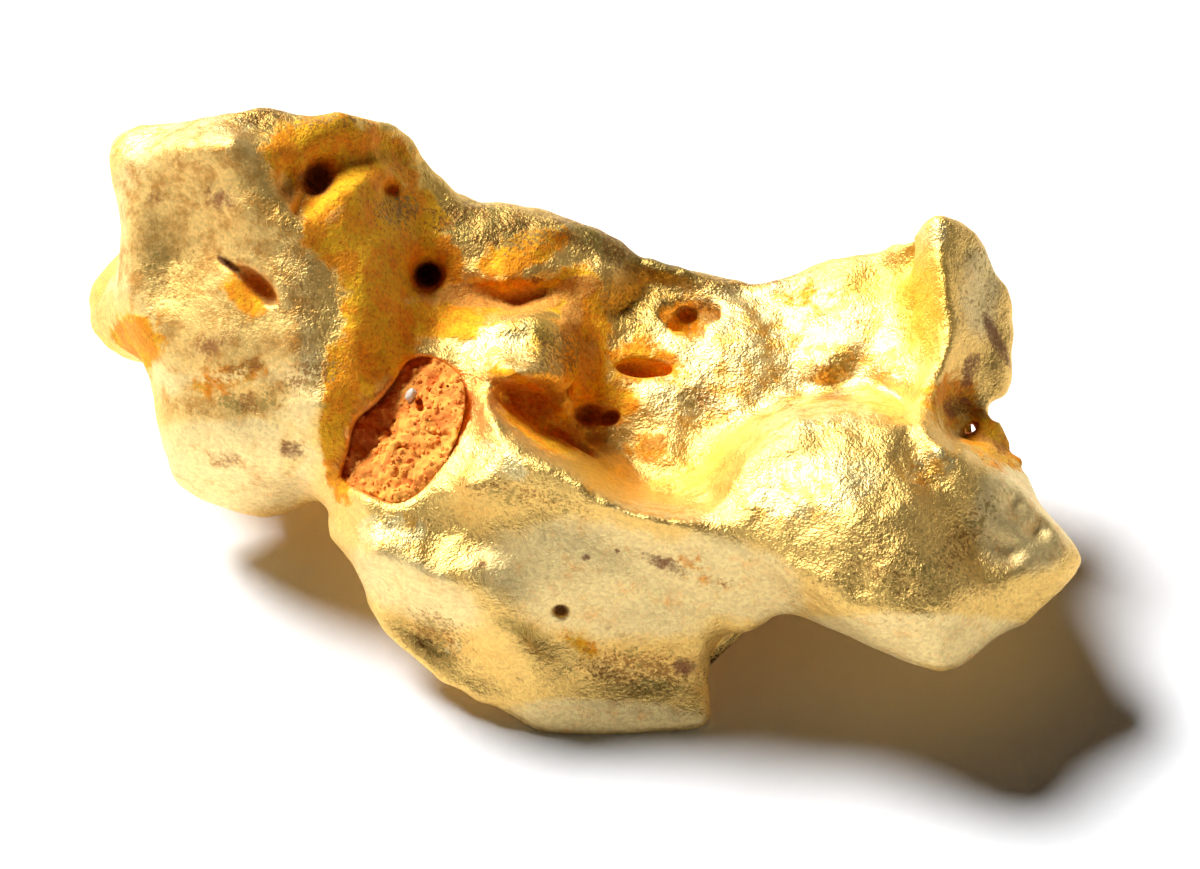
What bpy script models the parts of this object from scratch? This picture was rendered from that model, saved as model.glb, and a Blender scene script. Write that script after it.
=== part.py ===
"""A water-worn gold nugget, 25 mm long, with a pocket of ironstone clay.

The nugget is surveyed like a small landscape. Its broad display side is laid out on a drawing
plane: x runs along the nugget, y across it, and z is the height towards the viewer, all in
millimetres. Named crest, valley and spot heights give the display side and the back, the rim
line joins the two, and one field of signed distances holds them together with the lobes and
the holes. The finished pieces are then tipped by LEAN onto the three feet they rest on.
"""

import math

import bmesh
import bpy
import numpy as np
import openvdb
from mathutils import Matrix

MM = 0.001
LEAN = 45.0            # the display side leans back this far from facing straight up, in degrees
FLOOR_SUM = -8.0       # y + z of the resting plane, in drawing millimetres
VOXEL = 0.16           # spacing of the field that the pieces are meshed from
LOW = (-14.0, -8.2, -8.8)
HIGH = (12.6, 8.9, 4.4)

RIM_HALF = 0.35        # half the thickness of the metal at the rim line
ROUND = 0.45           # radius of the rounding where display side, back and rim meet
SOFTNESS = 0.18        # how gently the surveyed surfaces turn at a surveyed point
SPACING = 0.45         # distance between the points read from a surveyed line
CLOSEST = 0.14         # a surveyed point nearer than this to an earlier one is left out

NUGGET_TRIANGLES = 8800
CLAY_TRIANGLES = 700

# The rim line: the nugget's outline seen square on, with its height.
RIM = [
    (-12.45, 7.0, -1.7), (-12.35, 7.4, -1.85), (-12.0, 7.72, -1.8), (-11.5, 7.88, -1.7),
    (-10.6, 7.95, -1.25), (-9.4, 8.06, -0.75), (-8.7, 8.25, -0.75), (-8.0, 8.24, -1.05), (-7.2, 8.16, -1.0),
    (-6.2, 8.06, -1.3), (-5.3, 7.85, -2.35), (-4.78, 7.56, -3.0), (-4.6, 7.2, -3.15), (-4.35, 6.8, -3.35),
    (-4.05, 6.45, -3.5), (-3.7, 6.12, -3.6), (-3.0, 5.95, -3.75), (-2.1, 5.86, -3.8),
    (-1.4, 5.68, -3.95), (-0.5, 5.4, -4.1), (0.2, 5.08, -4.25), (0.8, 4.7, -4.3), (1.3, 4.42, -4.4),
    (2.2, 4.12, -4.5), (3.1, 3.95, -4.65), (4.2, 3.88, -4.7), (5.0, 4.0, -4.75), (5.7, 4.22, -4.65),
    (6.4, 4.38, -4.45), (7.0, 4.72, -4.2), (7.6, 5.12, -3.4), (8.15, 5.48, -2.3), (8.6, 5.55, -1.95),
    (9.05, 5.4, -2.1), (9.5, 5.0, -2.4), (9.8, 4.55, -2.6), (10.05, 4.1, -2.8), (10.35, 3.7, -2.95),
    (10.55, 3.1, -3.05), (10.6, 2.5, -2.9), (10.46, 2.0, -2.65), (10.5, 1.3, -2.55), (10.46, 0.85, -2.3),
    (10.36, 0.6, -2.1), (10.12, 0.52, -1.85), (9.98, 0.42, -1.7), (10.16, 0.36, -1.75),
    (10.32, 0.05, -1.7), (10.55, -0.38, -1.5), (10.75, -0.6, -1.3), (10.95, -1.15, -0.8),
    (11.35, -1.85, -0.3), (11.75, -2.4, 0.0), (12.02, -2.85, 0.25), (12.06, -3.3, 0.35),
    (11.7, -3.82, 0.5), (11.1, -4.35, 0.65), (10.5, -4.85, 0.85), (9.8, -5.25, 1.2), (9.0, -5.7, 1.55),
    (8.5, -5.82, 1.75), (7.9, -5.68, 1.75), (6.9, -5.38, 1.7), (5.9, -5.02, 1.6), (5.1, -4.72, 1.4),
    (4.6, -4.6, 1.1), (4.2, -4.76, 0.7), (3.6, -5.06, 0.3), (3.12, -5.24, -0.1), (2.92, -5.6, -0.4),
    (2.8, -6.2, -0.65), (2.78, -6.8, -0.7), (2.68, -7.2, -0.7), (2.4, -7.36, -0.75), (1.4, -7.48, -0.8),
    (0.2, -7.58, -0.8), (-0.9, -7.62, -0.8), (-1.5, -7.46, -0.75), (-2.2, -7.02, -0.65),
    (-3.1, -6.7, -0.6), (-3.9, -6.28, -0.7), (-4.7, -5.62, -0.9), (-5.4, -5.02, -1.0),
    (-5.78, -4.45, -1.1), (-5.95, -3.85, -1.05), (-6.3, -3.25, -1.05), (-6.8, -2.62, -1.3),
    (-6.9, -2.2, -1.4), (-7.0, -1.86, -2.05), (-7.45, -1.84, -3.35), (-8.1, -1.98, -4.0),
    (-8.8, -2.04, -4.35), (-9.6, -1.84, -4.4), (-10.4, -1.48, -4.15), (-10.9, -1.08, -3.8),
    (-11.17, -0.4, -3.4), (-11.22, 0.4, -3.0), (-11.16, 1.3, -2.5), (-11.35, 1.95, -2.4),
    (-11.85, 2.55, -2.35), (-12.2, 3.1, -2.35), (-12.33, 3.7, -2.45), (-12.25, 4.5, -2.2),
    (-12.27, 5.4, -2.1), (-12.4, 6.2, -1.8),
]

# Heights on the display side, by place. A line is a crest, a valley or a foot of a slope.
DISPLAY_LINES = {
    # the standing block at the left end
    "block_shoulder": [(-12.0, 6.98, -0.8), (-11.3, 7.08, -0.3), (-10.6, 7.32, 0.15), (-9.8, 7.45, 0.5),
                       (-9.1, 7.32, 0.8), (-8.4, 7.15, 0.55)],
    "block_shoulder_top": [(-11.6, 7.55, -1.05), (-10.5, 7.68, -0.5), (-9.4, 7.85, -0.1), (-8.5, 7.9, -0.4)],
    "block_crest": [(-8.35, 7.1, 0.55), (-8.05, 6.5, 0.45), (-7.75, 5.9, 0.5), (-7.3, 5.2, 0.7),
                    (-6.8, 4.55, 0.5), (-6.5, 3.7, 0.5), (-6.7, 2.7, 0.65), (-6.95, 1.7, 0.75),
                    (-7.0, 0.7, 0.85), (-6.9, -0.3, 0.3), (-6.75, -1.1, -0.25), (-6.95, -1.55, -0.9)],
    "block_left_edge": [(-12.05, 6.2, -1.0), (-11.95, 5.2, -1.1), (-11.95, 4.2, -1.3), (-11.95, 3.4, -1.45),
                        (-11.6, 2.8, -1.25), (-11.1, 2.1, -1.3), (-10.9, 1.3, -1.55), (-10.9, 0.4, -2.0),
                        (-10.8, -0.4, -2.35), (-10.4, -1.0, -2.8)],
    "bulge_overhang": [(-10.3, 1.4, -0.95), (-9.7, 1.6, -0.3), (-9.1, 1.5, -0.05), (-8.5, 1.35, 0.1),
                       (-7.9, 1.3, 0.3)],
    "bulge_fold": [(-10.1, 1.0, -1.0), (-9.4, 0.95, -0.5), (-8.9, 0.8, -0.4), (-8.4, 0.7, -0.15)],
    "bulge_brow": [(-10.2, 0.1, -1.35), (-9.4, 0.2, -0.7), (-8.5, 0.2, -0.25), (-7.7, 0.1, 0.05)],
    "bulge_belly": [(-10.0, -0.8, -2.1), (-9.2, -0.9, -1.55), (-8.4, -0.9, -1.15), (-7.6, -0.9, -0.9)],
    "bulge_under": [(-9.9, -1.4, -3.25), (-9.1, -1.6, -3.15), (-8.3, -1.55, -2.75), (-7.6, -1.45, -2.3)],
    # the stained slope between the block and the saddle
    "second_crest": [(-7.25, 5.75, 0.1), (-6.6, 6.1, -0.1), (-6.0, 6.45, -0.65), (-5.4, 6.7, -1.55),
                     (-4.95, 6.85, -2.4)],
    "second_valley": [(-6.5, 6.55, -0.8), (-5.9, 6.9, -1.35), (-5.3, 7.1, -2.15)],
    "stained_slope": [(-6.7, 5.2, 0.25), (-6.1, 5.0, 0.0), (-5.5, 5.3, -0.8), (-5.0, 5.7, -1.9),
                      (-4.5, 6.2, -2.75)],
    "stained_foot": [(-5.9, 4.0, 0.25), (-5.75, 3.2, 0.35), (-5.9, 2.4, 0.55), (-6.1, 1.6, 0.65)],
    # the ridge round the pocket and along the front
    "pocket_rim_left": [(-6.75, -0.9, -0.15), (-6.55, -0.1, 0.45), (-6.45, 0.6, 0.7), (-5.8, 1.15, 0.55),
                        (-5.3, 1.7, 0.1), (-4.75, 2.2, -0.5), (-4.1, 2.15, -0.8), (-3.45, 1.75, -0.55),
                        (-3.1, 1.2, -0.15), (-3.15, 0.4, 0.7), (-3.35, -0.4, 1.45), (-3.8, -1.1, 1.65),
                        (-4.4, -1.65, 1.45), (-5.1, -1.95, 1.35), (-5.8, -1.8, 1.05), (-6.35, -1.45, 0.35)],
    "front_crest": [(-2.75, 0.85, 0.9), (-2.3, 0.2, 1.6), (-1.6, -0.35, 2.1), (-0.9, -0.75, 2.35),
                    (-0.3, -1.15, 2.55), (0.2, -1.5, 2.65), (0.8, -1.85, 2.75), (1.5, -2.0, 2.75),
                    (2.3, -2.1, 2.75), (2.85, -2.15, 2.7)],
    "front_shoulder": [(-3.3, -1.2, 2.35), (-2.5, -0.95, 2.6), (-1.7, -1.0, 2.75), (-0.9, -1.3, 2.8),
                       (0.0, -1.75, 2.85), (0.8, -2.15, 2.8), (1.7, -2.35, 2.75), (2.7, -2.6, 2.7)],
    "slot_wall_foot": [(-2.35, 1.0, -1.8), (-1.65, 0.55, -1.9), (-1.05, 0.15, -1.8), (-0.45, -0.25, -1.35)],
    "bowl_wall_foot": [(0.05, -0.6, -1.1), (0.5, -1.0, -0.9), (1.1, -1.35, -0.8), (1.8, -1.4, -0.7),
                       (2.5, -1.2, -0.6), (2.95, -0.7, -0.65)],
    "nose_top": [(-6.3, -2.1, 0.3), (-5.6, -2.35, 1.2), (-4.8, -2.35, 1.4), (-4.1, -2.3, 1.35)],
    "nose_lip": [(-6.5, -2.75, -0.25), (-5.7, -3.05, 1.25), (-4.8, -3.3, 1.6), (-3.9, -3.6, 1.75),
                 (-3.1, -3.8, 1.8), (-2.5, -4.2, 1.7), (-2.15, -4.85, 1.3), (-1.85, -5.55, 0.9),
                 (-1.5, -6.3, 0.35), (-1.3, -6.9, -0.1)],
    "nose_valley": [(-3.6, -2.2, 1.5), (-3.1, -2.7, 1.55), (-2.5, -3.1, 1.75)],
    # the front face and its foot
    "face_upper": [(-2.2, -1.9, 2.15), (-1.2, -2.05, 2.35), (0.0, -2.45, 2.35), (1.2, -2.9, 2.2),
                   (2.4, -3.2, 2.25), (3.4, -3.5, 2.15)],
    "face_mound": [(-1.7, -3.9, 1.6), (-1.0, -4.0, 1.55), (-0.2, -4.1, 1.4), (0.6, -4.2, 1.3)],
    "face_fold": [(-1.75, -5.0, 0.9), (-1.2, -4.95, 0.75), (-0.6, -5.1, 0.6), (0.0, -5.4, 0.45)],
    "face_hollow": [(0.2, -5.75, 0.2), (0.9, -5.9, 0.1), (1.7, -5.95, 0.05), (2.3, -5.95, 0.05)],
    "face_right": [(1.6, -4.2, 1.35), (2.2, -4.9, 0.9), (2.6, -5.5, 0.4)],
    "foot_band": [(-0.9, -6.55, 0.05), (0.2, -6.5, -0.05), (1.2, -6.5, -0.1), (2.2, -6.45, -0.15)],
    "lower_hollow": [(-5.0, -4.6, -0.45), (-4.3, -5.0, -0.5), (-3.8, -5.35, -0.35)],
    "lower_brow": [(-5.5, -3.8, 0.05), (-4.6, -4.2, 0.5), (-3.7, -4.6, 0.75), (-3.0, -5.1, 0.8)],
    "lower_lip": [(-4.4, -5.65, -0.5), (-3.6, -6.05, -0.3), (-2.8, -6.3, -0.1), (-2.0, -6.7, 0.0)],
    # the wing and its dome
    "dome_far_edge": [(2.9, -1.8, 2.3), (3.15, -1.2, 1.8), (3.5, -0.5, 1.3), (4.05, 0.1, 1.0),
                      (4.8, 0.45, 0.85), (5.7, 0.58, 0.85), (6.7, 0.6, 0.85), (7.5, 0.4, 1.0)],
    "dome_far_shoulder": [(3.3, -1.75, 2.5), (3.65, -1.1, 2.3), (4.05, -0.5, 2.05), (4.6, -0.05, 1.9),
                          (5.2, 0.1, 1.85), (5.9, 0.15, 1.85), (6.8, 0.12, 1.9), (7.4, -0.05, 1.9)],
    "dome_far_foot": [(2.75, -1.0, -0.5), (3.15, -0.25, -1.05), (3.8, 0.42, -1.5), (4.7, 0.82, -1.8),
                      (5.7, 0.95, -2.0), (6.8, 0.97, -1.9), (7.6, 0.78, -1.5)],
    "dome_top": [(3.9, -1.9, 2.75), (4.8, -1.4, 2.85), (5.9, -1.2, 3.0), (6.9, -1.3, 2.95),
                 (7.7, -1.6, 2.95)],
    "dome_middle": [(4.4, -2.7, 3.05), (5.2, -3.1, 3.35), (6.1, -3.3, 3.65), (7.0, -3.2, 3.8),
                    (8.0, -3.2, 3.6)],
    "dome_brow": [(3.9, -2.95, 2.75), (4.6, -3.35, 3.1), (5.4, -3.85, 3.35), (6.2, -4.3, 3.5),
                  (7.0, -4.55, 3.6), (7.9, -4.65, 3.55), (8.6, -4.5, 3.35), (9.2, -4.15, 2.95),
                  (9.8, -3.7, 2.3), (10.5, -3.4, 1.9), (11.2, -3.15, 1.5)],
    "dome_groove": [(7.75, 0.05, 1.65), (8.15, -0.7, 2.05), (8.6, -1.5, 2.15), (9.0, -2.3, 2.1),
                    (9.3, -2.9, 2.05), (10.2, -2.95, 1.75)],
    "facet_crest": [(8.0, 0.45, 1.15), (8.5, -0.3, 1.95), (9.1, -1.0, 2.05), (9.8, -1.8, 1.95),
                    (10.5, -2.45, 1.75), (11.2, -3.0, 1.45)],
    "facet_foot": [(9.0, -0.35, 1.15), (9.8, -0.75, 1.05), (10.5, -1.35, 0.95), (11.2, -2.1, 0.95),
                   (11.7, -2.75, 0.9)],
    "wing_band": [(4.6, -4.1, 2.15), (5.6, -4.6, 2.5), (6.8, -5.05, 2.7), (8.3, -5.4, 2.6),
                  (9.4, -5.0, 2.1), (10.3, -4.45, 1.55), (11.2, -3.85, 1.15)],
    # the knob, the clay crease and the back slope
    "knob_top": [(-4.1, 2.6, -1.2), (-3.3, 2.5, -0.75), (-2.5, 2.4, -0.4), (-1.7, 2.3, -0.3),
                 (-1.15, 2.2, -0.5)],
    "knob_near_edge": [(-2.95, 1.35, 0.0), (-2.3, 1.25, 0.2), (-1.6, 1.2, 0.15), (-0.95, 1.35, -0.3)],
    "knob_near_foot": [(-2.3, 0.98, -1.6), (-1.6, 0.88, -1.6), (-1.0, 0.8, -1.7)],
    "knob_end_foot": [(-0.65, 1.2, -1.85), (-0.4, 1.9, -2.35), (-0.35, 2.5, -2.65), (-0.6, 3.0, -2.75)],
    "knob_far_edge": [(-3.4, 2.95, -1.25), (-2.5, 3.0, -1.0), (-1.6, 2.95, -1.05), (-1.0, 2.7, -1.3)],
    "clay_crease": [(-3.7, 3.55, -2.45), (-3.0, 3.5, -2.5), (-2.2, 3.25, -2.45), (-1.5, 3.4, -2.7),
                    (-0.8, 3.55, -3.0), (-0.1, 3.5, -3.2), (0.35, 3.8, -3.5)],
    "crease_lip": [(-3.2, 4.0, -2.25), (-2.4, 3.75, -2.2), (-1.6, 3.95, -2.6), (-0.8, 4.05, -2.95),
                   (0.0, 4.1, -3.3)],
    "back_band": [(-2.7, 4.35, -2.4), (-2.1, 4.75, -2.65), (-1.5, 5.1, -3.05), (-0.9, 5.25, -3.35)],
    "back_slope": [(-3.7, 5.1, -2.6), (-2.9, 5.35, -2.75), (-2.2, 5.35, -2.95), (-0.6, 4.75, -3.4),
                   (0.2, 4.5, -3.7)],
    # the basin
    "basin_left": [(-0.3, -0.1, -2.3), (0.3, 0.9, -2.8), (0.5, 2.2, -3.45), (0.6, 3.2, -4.05),
                   (1.2, 3.9, -4.4)],
    "basin_low": [(1.6, -0.6, -1.8), (2.0, 0.4, -2.4), (2.6, 1.6, -3.15), (3.0, 2.9, -3.95)],
    "basin_middle": [(3.4, 0.7, -2.3), (4.2, 1.6, -2.9), (4.6, 2.8, -3.8), (4.6, 3.5, -4.3)],
    "basin_right": [(5.6, 1.6, -2.4), (6.3, 2.2, -2.8), (6.5, 3.2, -3.45), (6.3, 3.9, -3.8)],
    "basin_far_right": [(7.4, 1.5, -2.0), (7.6, 2.4, -2.55), (7.6, 3.3, -2.95), (7.4, 4.1, -3.5)],
    "basin_end": [(8.05, 1.7, -1.2), (8.25, 2.5, -1.3), (8.15, 3.4, -1.65), (7.9, 4.2, -2.3)],
    # the fin that closes the basin, and the curl below it
    "fin_crest": [(8.3, 5.0, -1.55), (8.4, 4.4, -1.15), (8.55, 3.8, -0.9), (8.72, 3.1, -0.8),
                  (8.75, 2.5, -0.6), (8.6, 1.95, -0.5), (8.35, 1.5, -0.35), (8.1, 1.1, -0.2)],
    "fin_outside": [(9.1, 4.7, -1.8), (9.3, 4.0, -1.7), (9.4, 3.2, -1.65), (9.45, 2.4, -1.5),
                    (9.4, 1.7, -1.55)],
    "fin_edge": [(9.85, 4.1, -2.4), (10.1, 3.3, -2.4), (10.2, 2.4, -2.25), (10.1, 1.5, -2.05)],
    "curl": [(8.75, 1.3, -1.0), (8.75, 0.75, -1.05), (9.0, 0.3, -1.1), (9.5, 0.6, -1.5),
             (9.9, 0.9, -1.85)],
    "curl_edge": [(8.28, 1.0, 0.15), (8.3, 0.55, 0.4), (8.5, 0.1, 0.55), (8.85, -0.2, 0.35)],
    "ledge": [(9.2, -0.1, -0.55), (9.7, 0.1, -1.1), (10.2, -0.3, -1.1), (10.6, -0.8, -0.85)],
}

DISPLAY_SPOTS = [
    (-10.6, 6.3, 0.0), (-9.6, 6.4, 0.45), (-11.0, 5.4, -0.55), (-10.0, 5.4, -0.05), (-8.9, 5.6, 0.75),
    (-10.7, 4.4, -0.85), (-9.8, 4.5, -0.15), (-8.9, 4.7, 0.45), (-8.0, 4.6, 0.65), (-10.9, 3.4, -0.85),
    (-9.7, 3.5, -0.05), (-8.6, 3.2, 0.4), (-7.4, 3.9, 0.75), (-10.6, 2.5, -0.65), (-9.5, 2.5, 0.1),
    (-8.4, 2.4, 0.55), (-7.5, 2.7, 0.85), (-7.6, 1.9, 0.75), (-7.6, 0.6, 0.45), (-7.6, -0.3, -0.25),
    (-6.9, 7.6, -0.45), (-6.0, 7.55, -1.15), (-5.2, 7.4, -2.3), (-5.2, 4.9, -1.05), (-4.6, 5.4, -2.35),
    (-5.2, 3.9, -0.5), (-5.0, 3.0, -0.45), (-4.3, 4.9, -2.45), (-3.6, 4.3, -2.45), (-4.3, 3.1, -1.45),
    (-3.6, 3.2, -1.8), (-4.2, -3.0, 1.55), (-3.2, -3.2, 1.85), (-0.8, -3.2, 1.95), (0.5, -3.4, 1.85),
    (1.6, -3.6, 1.7), (2.9, -4.2, 1.4), (3.6, -4.5, 1.15), (-0.6, -6.0, 0.2), (-2.6, -5.6, 0.5),
    (-4.9, -3.9, 0.6), (0.6, -5.2, 0.7), (1.5, -5.3, 0.65), (8.7, -3.4, 3.25), (6.4, -3.8, 3.6),
    (7.6, -3.9, 3.75), (9.6, -2.3, 2.0), (9.5, -1.3, 1.55), (10.3, -1.7, 1.3),
    (10.9, -2.4, 1.2), (7.0, -0.3, 2.2), (5.6, -0.35, 2.2), (4.4, -0.75, 2.3), (1.2, 1.0, -2.65),
    (1.4, 2.9, -4.0), (2.2, 3.6, -4.45), (3.6, 3.6, -4.5), (5.5, 3.9, -4.25), (5.4, 2.6, -3.45),
]

# Heights on the back, which nothing but the surveyor's eye has to please.
BACK_SPOTS = [
    (-11.2, 6.4, -3.3), (-9.6, 7.0, -3.2), (-8.0, 7.2, -3.2), (-10.6, 4.8, -4.8), (-8.6, 5.2, -5.25),
    (-6.4, 6.4, -3.45), (-10.4, 2.6, -5.1), (-8.4, 3.0, -5.8), (-6.4, 4.2, -4.7), (-9.8, 0.4, -5.4),
    (-8.0, 0.6, -5.25), (-6.2, 1.6, -4.55), (-4.4, 4.8, -5.05), (-4.2, 2.4, -5.3), (-8.6, -1.0, -5.2),
    (-6.0, -0.8, -3.2), (-4.0, 0.0, -4.05), (-4.4, -2.4, -2.2), (-4.2, -4.2, -1.7), (-2.6, -5.4, -1.2),
    (-2.2, -2.0, -2.8), (-1.4, -4.4, -2.0), (0.2, -5.8, -1.1), (1.6, -6.2, -0.8), (0.8, -3.6, -2.4),
    (2.2, -4.2, -1.2), (-2.0, 2.6, -5.25), (-1.6, 4.6, -5.2), (0.2, 0.6, -4.65), (0.4, 3.2, -5.15),
    (2.0, -1.6, -3.2), (2.4, 1.4, -5.25), (3.6, -2.8, -0.8), (4.4, 0.0, -3.95), (4.6, 2.6, -5.55),
    (5.4, -3.0, 0.2), (5.4, -1.4, -1.6), (6.8, 1.2, -4.75), (7.0, 3.4, -5.25), (7.6, -1.6, -1.2),
    (7.6, -3.6, 0.3), (8.8, 0.6, -3.15), (9.2, 2.6, -3.4), (9.2, 4.2, -3.15), (9.6, -1.4, -1.35),
    (9.8, -3.4, -0.4), (8.6, -4.9, 0.75), (11.0, -3.0, -0.75),
]

# Lobes that stand out from the back, as chains of balls (x, y, z, radius).
LOBES = {
    "rear_lobe": [(-9.2, 3.2, -3.65, 2.4), (-10.6, 3.3, -5.15, 2.0), (-11.5, 3.45, -6.5, 1.78)],
    "left_foot": [(-8.2, 1.8, -3.95, 2.3), (-8.3, 0.9, -5.4, 1.9), (-8.6, 0.35, -6.6, 1.5)],
    "belly": [(-6.8, 2.0, -3.5, 2.2), (-3.4, 1.9, -5.2, 1.9), (0.2, 1.5, -5.2, 1.9), (3.2, 1.2, -5.2, 1.9)],
    "right_foot": [(3.2, 0.8, -5.1, 1.9), (5.2, 0.2, -5.6, 1.9), (6.3, -0.5, -6.2, 1.6)],
    "back_knuckle": [(-5.4, 4.8, -3.8, 1.3), (-4.2, 4.0, -5.2, 1.0)],
    "shell_rib": [(6.4, 2.6, -4.6, 1.2), (8.2, 1.2, -3.2, 1.2)],
}
LOBE_BLEND = 1.5

# Holes and pits: middle of the mouth, radii along, across and deep, and the turn of the long axis.
HOLES = {
    "upper_hole": dict(at=(-7.05, 6.5), radii=(0.55, 0.4, 1.2), turn=68, blend=0.45),
    "upper_hole_left": dict(at=(-7.72, 6.45), radii=(0.5, 0.32, 0.5), turn=80, blend=0.4),
    "upper_hole_tip": dict(at=(-7.38, 5.85), radii=(0.45, 0.2, 0.5), turn=60, blend=0.35),
    "saddle_hole": dict(at=(-4.35, 4.05), radii=(0.4, 0.38, 1.9), turn=0, blend=0.6),
    "block_slot": dict(at=(-8.55, 3.72), radii=(0.66, 0.25, 0.8), turn=-44, blend=0.15),
    "block_slot_tail": dict(at=(-9.2, 4.2), radii=(0.45, 0.09, 0.35), turn=-36, blend=0.15),
    "small_hole": dict(at=(-5.25, 6.2), radii=(0.24, 0.2, 0.7), turn=0, blend=0.2),
    "twin_pit_left": dict(at=(-0.28, 0.5), radii=(0.36, 0.28, 0.9), turn=0, blend=0.15),
    "twin_pit_right": dict(at=(0.24, 0.42), radii=(0.28, 0.2, 0.7), turn=10, blend=0.15),
    "streak_ledge": dict(at=(1.1, 1.62), radii=(0.8, 0.2, 0.3), turn=-3, blend=0.3),
    "ring_dimple": dict(at=(2.25, 2.7), radii=(0.85, 0.7, 0.45), turn=20, blend=0.35),
    "ring_pit_far": dict(at=(2.2, 3.05), radii=(0.3, 0.22, 0.75), turn=0, blend=0.12),
    "ring_pit_near": dict(at=(2.45, 2.5), radii=(0.24, 0.2, 0.7), turn=0, blend=0.12),
    "end_dimple": dict(at=(7.75, 4.4), radii=(0.48, 0.4, 0.3), turn=30, blend=0.3),
    "face_pit": dict(at=(-0.98, -4.38), radii=(0.2, 0.17, 0.35), turn=0, blend=0.1),
}

# Places where the metal is eaten away under a lip, as chains of balls (x, y, z, radius).
UNDERCUTS = {
    "under_knob": [(-2.5, 0.98, -1.45, 0.3), (-1.7, 0.9, -1.65, 0.42), (-0.9, 0.95, -1.6, 0.3)],
    "under_ridge": [(-2.2, 0.7, -1.6, 0.3), (-1.3, 0.05, -1.6, 0.36), (-0.5, -0.45, -1.25, 0.3)],
}
UNDERCUT_BLEND = 0.25
HOLE_THROUGH = dict(at=(9.35, 0.15), radii=(0.2, 0.13, 2.6), turn=35, blend=0.1)

# The clay pocket: its rim on the drawing plane, and its height range.
POCKET_RIM = [
    (-6.5, -1.0), (-6.32, -0.35), (-6.15, 0.35), (-5.6, 0.85), (-5.2, 1.35), (-4.9, 1.85), (-4.5, 2.0),
    (-4.0, 1.9), (-3.5, 1.5), (-3.36, 1.0), (-3.45, 0.3), (-3.75, -0.45), (-4.15, -1.05), (-4.6, -1.5),
    (-5.15, -1.68), (-5.75, -1.5), (-6.25, -1.28),
]
POCKET_MOUTH = 0.95
POCKET_BOTTOM = -2.3
POCKET_TAPER = 0.04
POCKET_LIP = 0.2                     # rounding of the metal at the pocket's mouth
POCKET_CORNER = 0.8                  # rounding between the pocket's wall and its bottom
CLAY_GAP = 0.27
CLAY_EDGE = 0.1                      # rounding of the clay's own edge
# Heights of the clay's broken face. Its left part has sunk along a crack.
CLAY_SPOTS = [
    (-6.1, -0.9, 0.05), (-5.9, 0.1, -0.2), (-5.4, 0.6, -0.3), (-5.35, 0.1, -0.05), (-5.75, -0.45, 0.0),
    (-5.05, 0.35, 0.35), (-5.05, 0.0, 0.5), (-5.4, -0.35, 0.6), (-5.85, -0.85, 0.55), (-5.4, -1.3, 0.95),
    (-4.6, 1.45, -0.45), (-4.0, 1.4, -0.25), (-4.5, 1.0, 0.05), (-3.8, 0.9, 0.35), (-4.3, 0.4, 0.65),
    (-3.8, 0.1, 0.85), (-4.5, -0.3, 0.95), (-4.2, -0.9, 1.3), (-4.9, -0.8, 1.0), (-5.0, -1.4, 1.15),
]

# Unevenness of the metal and of the clay: size of the lumps and their height, for each octave.
GOLD_LUMPS = [(2.2, 0.10), (1.1, 0.06)]
BACK_LUMPS = [(3.4, 0.65), (1.7, 0.28)]
BACK_STARTS = (0.8, 2.6)             # depth under the display side where the back's lumps set in
CLAY_LUMPS = [(0.7, 0.07), (0.4, 0.05)]
SEED = 41


def smooth_max(a, b, radius):
    """The larger of two fields, rounded where they are within a radius of each other."""
    h = np.maximum(radius - np.abs(a - b), 0.0) / radius
    return np.maximum(a, b) + h * h * radius * 0.25


def smooth_min(a, b, radius):
    return -smooth_max(-a, -b, radius)


def closed_curve(points, steps=4):
    """A Catmull-Rom curve through a closed list of points, with this many steps between two."""
    p = np.array(points, float)
    before, after, later = np.roll(p, 1, 0), np.roll(p, -1, 0), np.roll(p, -2, 0)
    t = (np.arange(steps) / steps)[:, None, None]
    curve = 0.5 * (
        2 * p + (after - before) * t
        + (2 * before - 5 * p + 4 * after - later) * t**2
        + (3 * p - before - 3 * after + later) * t**3
    )
    return curve.transpose(1, 0, 2).reshape(-1, p.shape[1])


def points_along(line, spacing):
    """Points read along a line at about this spacing, its ends and corners among them."""
    p = np.array(line, float)
    found = [p[:1]]
    for a, b in zip(p[:-1], p[1:]):
        count = max(1, round(float(np.linalg.norm(b[:2] - a[:2])) / spacing))
        found.append(a + (b - a) * (np.arange(1, count + 1) / count)[:, None])
    return np.concatenate(found)


def surveyed_surface(heights, x, y):
    """The height over each (x, y), on a smooth sheet through the surveyed heights."""
    keep = []
    for h in heights:
        if all(math.hypot(h[0] - k[0], h[1] - k[1]) > CLOSEST for k in keep):
            keep.append(h)
    known = np.array(keep)
    reach = np.hypot(known[:, None, 0] - known[None, :, 0], known[:, None, 1] - known[None, :, 1])
    plane = np.c_[np.ones(len(known)), known[:, :2]]
    system = np.block([[np.sqrt(reach**2 + SOFTNESS**2), plane], [plane.T, np.zeros((3, 3))]])
    weights = np.linalg.solve(system, np.r_[known[:, 2], 0.0, 0.0, 0.0])
    sheet = weights[-3] + weights[-2] * x + weights[-1] * y
    for (kx, ky, _), weight in zip(known, weights):
        sheet = sheet + weight * np.sqrt((x - kx) ** 2 + (y - ky) ** 2 + SOFTNESS**2)
    return sheet


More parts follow.
